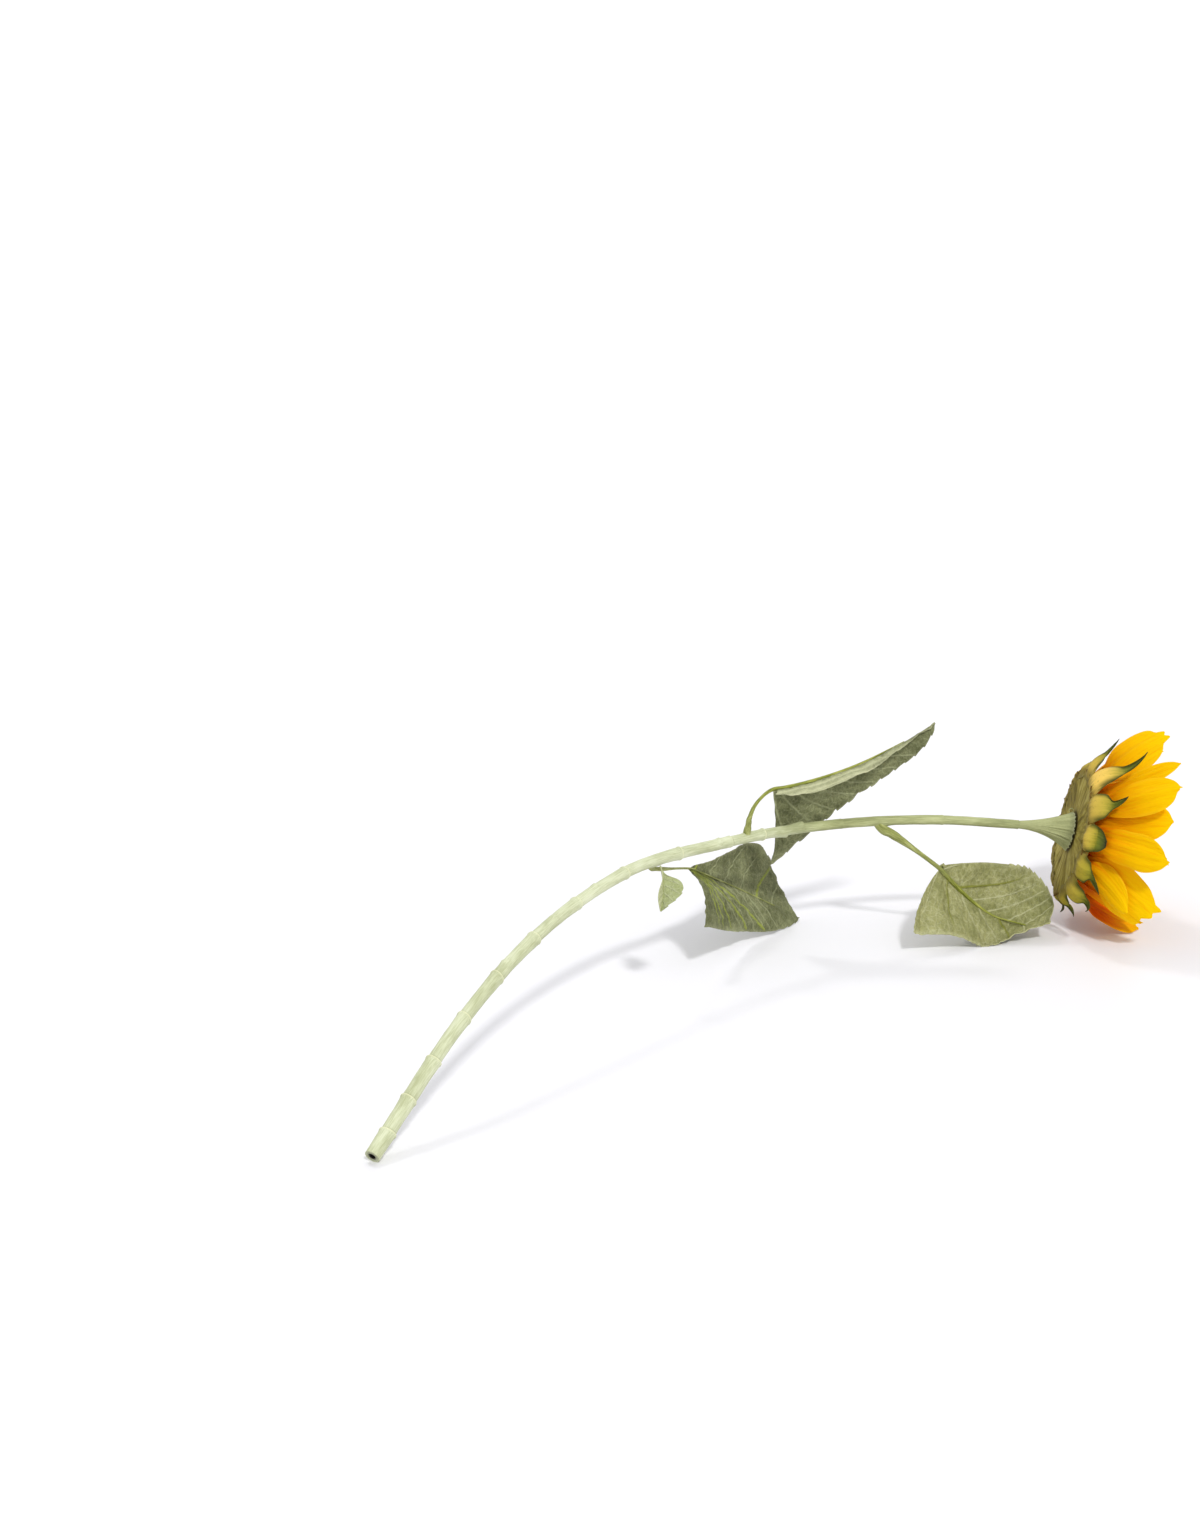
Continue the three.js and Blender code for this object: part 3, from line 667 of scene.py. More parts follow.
def bractPaint():
    # colour: beige on the swollen base, with a painted highlight on its dome, then yellow green, dark green at
    # the edges, dark at the point
    look = {
        "shades": [(128, 114, 52), (142, 128, 56), (168, 152, 50), (158, 148, 42), (108, 116, 38),
                   (74, 82, 34), (40, 38, 26)],
        "places": [0.0, 0.08, 0.2, 0.4, 0.62, 0.86, 1.0],
        "gold": (246, 206, 98), "edge": (64, 70, 24), "fleck": (110, 108, 58),
        "root": [(108, 98, 48), (150, 136, 74)], "glow": (150, 140, 50), "glowShare": 0.08,
        "rough": (0.62, 0.85), "gloss": 0.12, "relief": (0.5, 0.7),
    }
    paint = Paint("bract_cloth")
    cloth = paint.places()
    streak = paint.noise(cloth, (1.1, 0.09, 1.0), 4.0, 0.6)
    fleck = paint.noise(cloth, 0.5, 4.0, 0.65)
    weave = paint.noise(cloth, 2.4, 2.0)
    reach = paint.mark("along") + (streak - 0.5) * 0.3
    green = paint.ramp(reach, look["shades"], look["places"])
    # a painted highlight on the swollen base, strong on bract 5 and faint on most others
    gold = paint.mark("gold") * paint.band(reach, 0.6, 0.2) * paint.band(reach, 0.0, 0.14, 0.3, 1.0)
    warm = paint.mix(gold, green, look["gold"])
    edged = paint.mix(paint.mark("edge") * paint.band(reach, 0.0, 0.25) * 0.95, warm, look["edge"])
    flecked = paint.mix(paint.band(fleck, 0.56, 0.72) * 0.4, edged, look["fleck"])
    shown = paint.mix(paint.mark("root"), flecked, paint.mix(streak, *look["root"]))
    return paint.cover(look, shown, fleck, streak * 0.7 + weave * 0.3, look["glowShare"])


# Per bract, from number 1: length, tip angle, sideways sweep of the point, swelling, painted highlight on the
# base, abrupt neck and the angle at its waist.
bractList = [
    [40, 60, 2, 2.4, 0.2, 0.3, 34], [22, 70, -3, 2.2, 0.3, 0.3, 40], [17, 50, 4, 2.2, 0.2, 0.2, 30],
    [33, 80, 3, 2.8, 0.45, 0.3, 58], [48, 80, -4, 4.6, 1.0, 0.1, 34], [32, 84, -4, 4.8, 0.45, 0.7, 34],
    [16, 20, 2, 4.6, 0.35, 0.1, 34], [28, 62, 7, 4.2, 0.12, 0.8, 56], [30, 150, -3, 4.0, 0.15, 0.7, 24],
    [20, 100, -5, 2.8, 0.1, 0.5, 34], [22, 125, 5, 2.2, 0.1, 0.5, 34], [30, 90, -4, 2.4, 0.2, 0.3, 34],
    [38, 70, 3, 3.2, 0.3, 0.5, 34], [44, 60, -2, 3.0, 0.5, 0.4, 34],
]


def arcSteps(start, end, length, u):
    # an arc whose angle from the axis goes evenly from start to end: steps out, forward, and the angle
    turn = np.where(np.abs(end - start) < 1e-6, 1e-6, end - start)
    angle = start + turn * u
    out = length / turn * (np.cos(start) - np.cos(angle))
    forward = length / turn * (np.sin(angle) - np.sin(start))
    return out, forward, angle


def bractPieces():
    # two arcs, base to waist to tip, with a domed base, rolled edges and a folded point that sweeps aside
    look = {
        "start": 0.56, "radius": 45, "height": 1.4, "halfWidth": 9.3, "baseAngle": 70, "waist": 0.5,
        "thickness": 0.7, "rows": 76, "columns": 33, "rootShare": 0.14, "rootReach": 5.5, "rootIn": 0.6,
        "gutter": 0.22, "roll": 0.7, "pucker": (0.4, 0.2), "sway": 0.5, "shortest": 20,
        "places": [-0.14, -0.05, 0.08, 0.28, 0.42, 0.54, 0.7, 0.88, 1],
        "gradual": [0.9, 1.06, 1.1, 0.98, 0.78, 0.5, 0.3, 0.15, 0.03],
        "abrupt": [0.9, 1.06, 1.12, 1.06, 0.94, 0.36, 0.24, 0.17, 0.03],
        "stubPlaces": [-0.14, 0, 0.2, 0.5, 0.8, 1], "stub": [0.9, 1.06, 1.12, 1.04, 0.8, 0.3],
    }
    finish = bractPaint()
    full = np.linspace(-look["rootShare"], 1, look["rows"])[:, None]
    v = np.linspace(-1, 1, look["columns"])
    u = np.clip(full, 0, 1)
    root = np.clip(-full / look["rootShare"], 0, 1)
    late = np.clip((u - look["waist"]) / (1 - look["waist"]), 0, 1)
    gradual, abrupt = (throughValues(look["places"], look[key], full) for key in ("gradual", "abrupt"))
    stub = throughValues(look["stubPlaces"], look["stub"], full)
    for i, (length, tipAngle, sweep, swell, gold, neck, waistAngle) in enumerate(bractList):
        rng = np.random.default_rng(400 + i)
        base, waist, tip = (g * degree for g in (look["baseAngle"], waistAngle, tipAngle))
        lower = length * look["waist"]
        firstOut, firstForward, firstAngle = arcSteps(base, waist, lower, np.minimum(u / look["waist"], 1))
        nextOut, nextForward, nextAngle = arcSteps(waist, tip, length - lower, late)
        angle = np.where(late > 0, nextAngle, firstAngle)
        out = firstOut + nextOut - look["rootReach"] * np.sin(base) * root
        forward = firstForward + nextForward - look["rootReach"] * np.cos(base) * root
        forward = forward + look["rootIn"] * root**2
        width = stub if length < look["shortest"] else between(gradual, abrupt, neck)
        width = look["halfWidth"] * width * rng.uniform(0.93, 1.05)
        dome = swell * (1 - v**2) ** 0.8 * np.sin(math.pi * np.clip((full + 0.1) / 0.62, 0, 1)) ** 0.8
        gutter = look["gutter"] * width * v**2 * smooth(0.4, 0.7, u)
        roll = look["roll"] * smooth(0.7, 1, np.abs(v)) * smooth(0.05, 0.3, u) * (1 - smooth(0.7, 1, u))
        broad, fine = look["pucker"]
        pucker = broad * waves(v * 6, full * 5, 500 + i) + fine * waves(v * 15, full * 9, 520 + i)
        lift = dome + pucker * (1 - 0.4 * v**2) * smooth(1, 0.6, u) + roll + gutter
        aside = v * width * np.cos(0.5 * late * rng.uniform(-1, 1)) + sweep * late**1.6
        aside = aside + look["sway"] * waves(full * 6, 0, 600 + i) * u
        around = (i + look["start"]) / len(bractList) * 2 * math.pi
        outward = look["radius"] + out + lift * np.cos(angle)
        middle = headPoints(outward, around, look["height"] + forward - lift * np.sin(angle), aside)
        marks = {"cloth": stacked(v * width, full * length, 9.0 * i), "along": u, "gold": gold,
                 "edge": smooth(0.55, 1, np.abs(v)), "root": smooth(0.25, 0.8, root)}
        thickness = look["thickness"] * (1 - 0.45 * np.abs(v) ** 3) * (1 - 0.4 * u)
        shape = sheetShape(middle, thickness, marks)
        makePiece(f"bract_point_{i + 1}", shape, finish, "calyx_fabric", f"bract_{i + 1}")


calyxPiece()
bractPieces()
print("calyx and bracts made")

petalForm = {
    "front": 6.3, "lengthSpread": 0.06, "narrowing": 0.3, "rootRise": 0.4, "cloth": 0.5, "rows": 72,
    "columns": 41, "floor": 0.9, "pleat": 0.58, "ridge": 0.6, "shoulder": 0.35, "lines": 0.11,
    "fineLines": 0.05, "soft": 0.55, "ragged": 0.03, "places": [0, 0.12, 0.3, 0.52, 0.72, 0.86, 0.95, 1],
    "widths": [0.28, 0.5, 0.84, 1.0, 0.95, 0.72, 0.4, 0.06],
}
whorls = [
    {"name": "outer", "count": 9, "start": 0.4, "radius": 38.4, "length": 62, "width": 32,
     "angles": [60, 34], "press": 29},
    {"name": "middle", "count": 9, "start": 0.9, "radius": 35.2, "length": 59, "width": 30,
     "angles": [49, 23], "press": 24},
    {"name": "inner", "count": 8, "start": 0.2, "radius": 32.2, "length": 50, "width": 25,
     "angles": [36, 12], "press": 15},
]
# What sets single petals apart. blunt is the width in mm of the cut tip, corner the side of its point, sway
# its sideways bend in mm, and the rest are degrees: open tips it outwards, turn shifts it around the head,
# roll shows its back, twist turns its tip. The painted shade trait darkens a low petal in the head's shade
# towards the deep orange of its root.
petalTraits = {
    "outer_3": {"blunt": 15, "corner": 0.1, "sway": -2, "open": 7, "roll": 26, "twist": 6, "narrow": 1.06,
                "length": 1.04},
    "outer_4": {"blunt": 4, "corner": -0.8, "sway": -2, "open": 5, "roll": 8, "twist": 3, "narrow": 0.84,
                "turn": 2, "length": 1.05},
    "outer_5": {"blunt": 5, "corner": 0.5, "sway": 2, "open": -6, "roll": 2, "turn": -6.5, "narrow": 0.82,
                "length": 1.03},
    "outer_6": {"blunt": 3, "corner": 0.2, "sway": 12, "open": 16, "roll": -10, "turn": -18, "narrow": 0.74,
                "length": 0.77, "channel": 3.6},
    "outer_7": {"blunt": 4, "corner": 0.3, "sway": 2, "open": 10, "roll": 36, "length": 0.97, "deep": 0.5},
    "outer_8": {"deep": 0.4},
    "middle_3": {"blunt": 1.5, "corner": 0.0, "sway": -1, "open": 18, "roll": 14, "turn": 1, "narrow": 0.52,
                 "length": 1.15},
    "middle_4": {"blunt": 2, "corner": -0.2, "sway": -1, "open": 2, "turn": -6, "length": 0.95},
    "middle_5": {"blunt": 16, "corner": -0.7, "sway": 12, "open": -3, "roll": -4, "turn": 3, "narrow": 1.2,
                 "length": 1.08},
    "middle_6": {"blunt": 6, "corner": -0.6, "sway": 2, "open": 2, "roll": 14, "turn": 3, "length": 1.04,
                 "deep": 0.22},
    "middle_7": {"deep": 0.3},
    "inner_5": {"length": 0.7, "narrow": 0.8},
}


def petalPaint():
    # colour: deep orange at the root to golden yellow, with darker streaks that follow the pleats
    look = {
        "shades": [(224, 98, 0), (244, 138, 0), (250, 178, 0), (250, 210, 0), (254, 228, 0)],
        "places": [0.0, 0.12, 0.28, 0.55, 1.0], "line": (234, 150, 0), "edge": (255, 228, 50),
        "glow": (254, 212, 0), "rough": (0.55, 0.72), "gloss": 0.06, "relief": (0.5, 0.8),
    }
    paint = Paint("petal_cloth")
    cloth = paint.places()
    streak = paint.noise(cloth, (0.55, 0.03, 1.0), 4.0, 0.6)
    fine = paint.noise(cloth, (1.7, 0.05, 1.0), 3.0, 0.6)
    weave = paint.noise(cloth, 2.2, 2.0)
    cloud = paint.noise(cloth, (0.05, 0.035, 1.0))
    # the along mark also carries the painted shade of low petals, moving them towards the root's orange
    reach = paint.mark("along") + (streak - 0.5) * 0.55 + (cloud - 0.5) * 0.2
    body = paint.ramp(reach, look["shades"], look["places"])
    lined = paint.mix(paint.band(fine, 0.5, 0.7) * 0.5, body, look["line"])
    shown = paint.mix(paint.mark("edge") * 0.25, lined, look["edge"])
    height = fine * 0.5 + streak * 0.6 + weave * 0.15
    return paint.cover(look, shown, fine, height, paint.band(reach, 0.0, 0.5, 0.12, 0.42))


def petalPieces():
    # an arc from base to tip; its cross section is a channel with pleats, a ruffled edge, roll and twist
    form = petalForm
    finish = petalPaint()
    u = np.linspace(0, 1, form["rows"])[:, None]
    v = np.linspace(-1, 1, form["columns"])
    share = throughValues(form["places"], form["widths"], u)
    fade = np.sin(math.pi * np.clip(u * 0.96 + 0.04, 0, 1)) ** 0.6
    ridge = form["shoulder"] * hump(np.abs(v), 0.38, 0.16) - form["ridge"] * hump(v, 0.05, 0.2)
    floorLine = form["floor"] - shift[2]
    for w, whorl in enumerate(whorls):
        for i in range(whorl["count"]):
            rng = np.random.default_rng(1000 * w + i)
            name, seed = f"{whorl['name']}_{i + 1}", 20 * w + i
            trait = {"blunt": rng.choice([2, 4, 7]), "corner": rng.uniform(-0.7, 0.7), "length": 1,
                     "sway": rng.uniform(-3, 3), "open": rng.uniform(-3, 3), "turn": 0,
                     "narrow": rng.uniform(0.92, 1.05), "roll": rng.uniform(-8, 8),
                     "twist": rng.uniform(-14, 14), "channel": rng.uniform(1.2, 2.0), "deep": 0,
                     "ruffle": rng.uniform(0.5, 1.2), **petalTraits.get(name, {})}
            around = (i + whorl["start"]) / whorl["count"] * 2 * math.pi
            press = max(0.0, -math.sin(around)) ** 2.5  # how far the floor presses this petal in
            golden = 2 * (((i + 1) * 0.6180339887 + whorl["count"] * 0.377) % 1) - 1
            length = whorl["length"] * (1 + form["lengthSpread"] * golden) * trait["length"]
            width = whorl["width"] * (1 - form["narrowing"] * press) * trait["narrow"]
            start, end = ((g - whorl["press"] * press) * degree for g in whorl["angles"])
            end += trait["open"] * (1 - press) * degree
            half = 0.5 * np.maximum(width * share, trait["blunt"] * smooth(0.5, 0.9, u))
            half = half * (1 + form["ragged"] * waves(u * 12, 0, 700 + seed))
            cut = 0.42 * np.abs(v - trait["corner"]) ** 1.5 + 0.11 * np.sin(v * 7 + i)
            out, forward, angle = arcSteps(start, end, length, u - trait["blunt"] * cut * u**12 / length)
            pleat = form["pleat"] * np.sin(v * 8 + 1.6 * waves(u * 2, v, 800 + seed)) * (1 - v**2)
            lines = form["lines"] * np.sin(v * 27 + 2 * waves(v * 2, u, 820 + seed))
            lines = lines + form["fineLines"] * np.sin(v * 61 + i)
            ruffle = trait["ruffle"] * waves(u * 5, v * 1.2, 840 + seed) * np.abs(v) ** 2.4
            soft = form["soft"] * waves(u * 6, v * 2.4, 860 + seed) * smooth(0.1, 0.4, u)
            lean = (trait["roll"] * smooth(0, 0.45, u) + trait["twist"] * u * (1 - press)) * degree
            inward = trait["channel"] * v**2 * np.sin(math.pi * u) + fade * (pleat + ridge + lines) + soft
            inward = inward + ruffle * smooth(0.2, 0.6, u) + np.sin(lean) * v * half
            aside = v * half * np.cos(lean) + trait["sway"] * u**2
            radius = whorl["radius"] + out - inward * np.cos(angle)
            height = form["front"] + form["rootRise"] * math.sin(start) + forward + inward * np.sin(angle)
            middle = headPoints(radius, around + trait["turn"] * degree, height, aside)
            settled = floorLine - 0.5 + 0.5 * np.exp(np.minimum(middle[..., 2] - floorLine, 0) * 2)
            middle[..., 2] = np.where(middle[..., 2] < floorLine, settled, middle[..., 2])
            # a low petal's along mark is lowered by its painted shade trait
            marks = {"cloth": stacked(v * half, u * length, 11.0 * i + 3.7 * w), "along": u - trait["deep"],
                     "edge": smooth(0.8, 1, np.abs(v)) * smooth(0.2, 0.6, u)}
            shape = sheetShape(middle, form["cloth"] * (1 - 0.4 * v**4), marks)
            makePiece(f"ray_{name}", shape, finish, "petal_fabric", f"petal_{name}")


petalPieces()
print("petals made")

# Each finish of the seed disc: its shade at a floret's foot and at its tip.
discShades = {"disc_bed": [(30, 18, 10), (74, 40, 14)], "floret_cloth": [(30, 18, 10), (74, 40, 14)],
              "filament_tip": [(30, 18, 10), (206, 112, 14)]}


def discPaint(name):
    # colour: from the foot's shade to the tip's, broken up by fine noise
    look = {"rough": (0.75, 0.95), "gloss": 0.12, "relief": (0.5, 0.8)}
    paint = Paint(name)
    fleck = paint.noise(paint.places(), 1.1, 4.0, 0.6)
    reach = paint.mark("along") + (fleck - 0.5) * 0.4
    return paint.cover(look, paint.mix(paint.band(reach, 0.55, 0.95), *discShades[name]), fleck, fleck)


def discPieces():
    # a low dome with a dimple, set with florets on a golden-angle spiral and with fine curled filaments
    look = {"radius": 30.5, "back": 6.3, "rim": 3, "rise": 9, "dimple": 2.2, "dimpleRadius": 9, "lumps": 0.35,
            "columns": 120, "rows": 40, "goldenAngle": 2.399963, "sunk": 0.3, "lean": 0.8}
    # each kind: its count, how far out it is set, its sides, its bend and its profile of height and radius
    kinds = {
        "disc_florets": [640, 0.97, 6, 0.5, "floret_cloth",
                         [[0, 0.75], [1.6, 0.85], [2.6, 1.0], [2.9, 0.55], [2.3, 0.25]]],
        "disc_filaments": [420, 0.99, 4, 2.2, "filament_tip",
                           [[0, 0.22], [2.5, 0.18], [5, 0.15], [7.2, 0.17], [7.8, 0.3], [8.6, 0.1]]],
    }

    def domeHeight(radius):
        # a half ellipse on the rim, less the dimple in the middle
        share = np.clip(radius / look["radius"], 0, 1)
        dimple = look["dimple"] * hump(radius, 0, look["dimpleRadius"])
        return look["back"] + look["rim"] + look["rise"] * np.sqrt(1 - share**2) - dimple

    angle = roundAngles(look["columns"])
    turn = np.linspace(0, math.pi / 2, look["rows"])
    radius = np.concatenate([[0.5, 15, 30.2], look["radius"] * np.cos(turn[:-1]), [0.5]])[:, None]
    height = domeHeight(radius) + look["lumps"] * waves(radius * 0.9, 0, 41)
    height[:3] = look["back"]
    spot = stacked(radius * np.cos(angle), radius * np.sin(angle), height)
    bed = tubeShape(headPoints(radius, angle, height), {"cloth": spot, "along": 0.0})
    makePiece("disc_bed", bed, discPaint("disc_bed"), "disc_fabric", "seed_disc")

    rng = np.random.default_rng(42)
    for name, (count, reach, columns, bend, finish, profile) in kinds.items():
        k = np.arange(count) + 0.5
        radius, around = look["radius"] * reach * np.sqrt(k / count), k * look["goldenAngle"]
        foot = headPoints(radius, around, domeHeight(radius) - look["sunk"])
        out = np.cos(around)[:, None] * headSide + np.sin(around)[:, None] * headTop
        up = unit(headAxis + (radius / look["radius"] * look["lean"])[:, None] * out)
        side = unit(np.cross(up, out))
        forward = np.cross(side, up)
        size = rng.uniform(0.8, 1.2, count)
        lean = rng.uniform(-1, 1, (count, 2)) * bend
        heights, radii = np.array(profile).T
        share = (heights / heights[-1]) ** 2
        centre = foot[:, None] + (heights * size[:, None])[..., None] * up[:, None]
        centre = centre + (share * lean[:, :1])[..., None] * side[:, None]
        centre = centre + (share * lean[:, 1:])[..., None] * forward[:, None]
        ring = roundAngles(columns)[:, None]
        flat = np.cos(ring) * side[:, None] + np.sin(ring) * forward[:, None]
        points = centre[:, :, None] + radii[:, None, None] * flat[:, None]
        index = numbered(points[0])
        lids = [np.stack([np.full(columns - 2, lid[0]), lid[1:-1], lid[2:]], -1)
                for lid in (index[-1], index[0][::-1])]
        offset = (np.arange(count) * index.size)[:, None, None]
        quads, tris = ((faces + offset).reshape(-1, faces.shape[1])
                       for faces in (gridFaces(index, True), np.concatenate(lids)))
        along = np.broadcast_to((heights / heights[-1])[:, None], points.shape[:3]).ravel()
        points = points.reshape(-1, 3)
        shape = shapeOf(points, quads, tris, {"cloth": points - headCentre, "along": along})
        makePiece(name, shape, discPaint(finish), "disc_fabric")


discPieces()
print("seed disc made")

leafCloth = {
    # The first colour here is a pale painted highlight, laid where the pale mark is.
    "underside": (226, 227, 184), "glowShare": 0.12, "rough": (0.72, 0.9), "gloss": 0.15,
    "relief": (0.9, 1.0), "bend": (2.4, 2.4, 2.4), "cells": (0.21, 0.11),
    "smallCells": (0.55, 0.13), "thread": 0.022,
    "netShares": [(0.4, 0.2), (0.22, 0.15), (0.42, 0.25)],  # each kind of line in colour and in relief
}
leafShades = {
    "leaf_sage": [(122, 125, 70), (175, 174, 117), (214, 214, 166), (138, 142, 48)],
    "leaf_slate": [(76, 80, 48), (142, 146, 104), (180, 184, 140), (176, 188, 76)],
    "leaf_young": [(144, 154, 92), (186, 194, 140), (206, 212, 166), (172, 180, 96)],
}  # the dark and the pale cloth, the thin lines and the veins


def leafPaint(name):
    # colour: dark to pale cloth by broad noise, thin pale lines on cell edges and along noise contours,
    # a painted highlight where the pale mark is, most of it on the upper leaf's rolled strip, and the veins'
    # own colour on the veins
    dark, pale, line, vein = leafShades[name]
    look = {"glow": pale, **leafCloth}
    paint = Paint(name)
    cloth = paint.places()
    mottle = paint.noise(cloth, 0.05, 4.0, 0.6)
    weave = paint.noise(cloth, 1.5, 3.0, 0.6)
    contour = paint.noise(cloth, 0.16, 3.0, 0.6)
    bend = paint.node("ShaderNodeTexNoise", {}, {"Vector": cloth, "Scale": 0.3}, "Color")
    bent = paint.vectors("ADD", cloth, paint.vectors("MULTIPLY", bend, look["bend"]))
    crease = paint.noise(bent, (0.16, 0.55, 1.0), 3.0, 0.6)

    def cellEdges(scale, width):
        # 1 on the edges of irregular cells, falling to 0 at a width from them
        inputs = {"Vector": bent, "Scale": scale}
        apart = paint.node("ShaderNodeTexVoronoi", {"feature": "DISTANCE_TO_EDGE"}, inputs)
        return paint.band(apart, 0.0, width, 1.0, 0.0)

    apart = paint.node("ShaderNodeMath", {"operation": "ABSOLUTE"}, {0: contour - 0.5})
    net = [cellEdges(*look["cells"]), cellEdges(*look["smallCells"]),
           paint.band(apart, 0.0, look["thread"], 1.0, 0.0)]
    cells, smallCells, threads = (
        [edges * share for share in shares] for edges, shares in zip(net, look["netShares"]))
    body = paint.mix(paint.band(mottle * 0.5 + weave * 0.3 + crease * 0.35, 0.36, 0.74), dark, pale)
    seen = (cells[0] + smallCells[0] + threads[0]) * (0.4 + 0.6 * paint.band(mottle, 0.4, 0.62))
    netted = paint.mix(seen + paint.mark("line") * 0.9, body, line)
    # painted highlight by the pale mark, flecked by the weave
    highlit = paint.mix(paint.mark("pale") * (0.6 + 0.35 * weave), netted, look["underside"])
    shown = paint.mix(paint.mark("vein") * 0.9, highlit, vein)
    height = paint.mark("vein") * 0.9 + paint.mark("line") * 0.7 + weave * 0.4 + crease * 1.5
    height = height + (cells[1] + smallCells[1] + threads[1]) * (1 - paint.mark("pale") * 0.9)
    return paint.cover(look, shown, weave, height, look["glowShare"])


def stalkPaint():
    # colour: the stalk's own shades by lengthwise grain, and a yellower green where it is the blade's rib
    look = {"stalk": [(110, 116, 56), (146, 151, 84), (182, 186, 122)],
            "rib": [(96, 104, 34), (136, 142, 56), (182, 184, 96)],
            "rough": (0.5, 0.7), "gloss": 0.25, "relief": (0.4, 0.6)}
    paint = Paint("stalk_and_rib")
    cloth = paint.places()
    grain = paint.noise(cloth, (2.0, 2.0, 0.1), 4.0, 0.6)
    mottle = paint.noise(cloth, (0.3, 0.3, 0.08))
    tone = paint.band(grain * 0.6 + mottle * 0.5, 0.35, 0.75)
    shown = paint.mix(paint.mark("rib"), paint.ramp(tone, look["stalk"]), paint.ramp(tone, look["rib"]))
    return paint.cover(look, shown, grain, grain + mottle * 0.5)
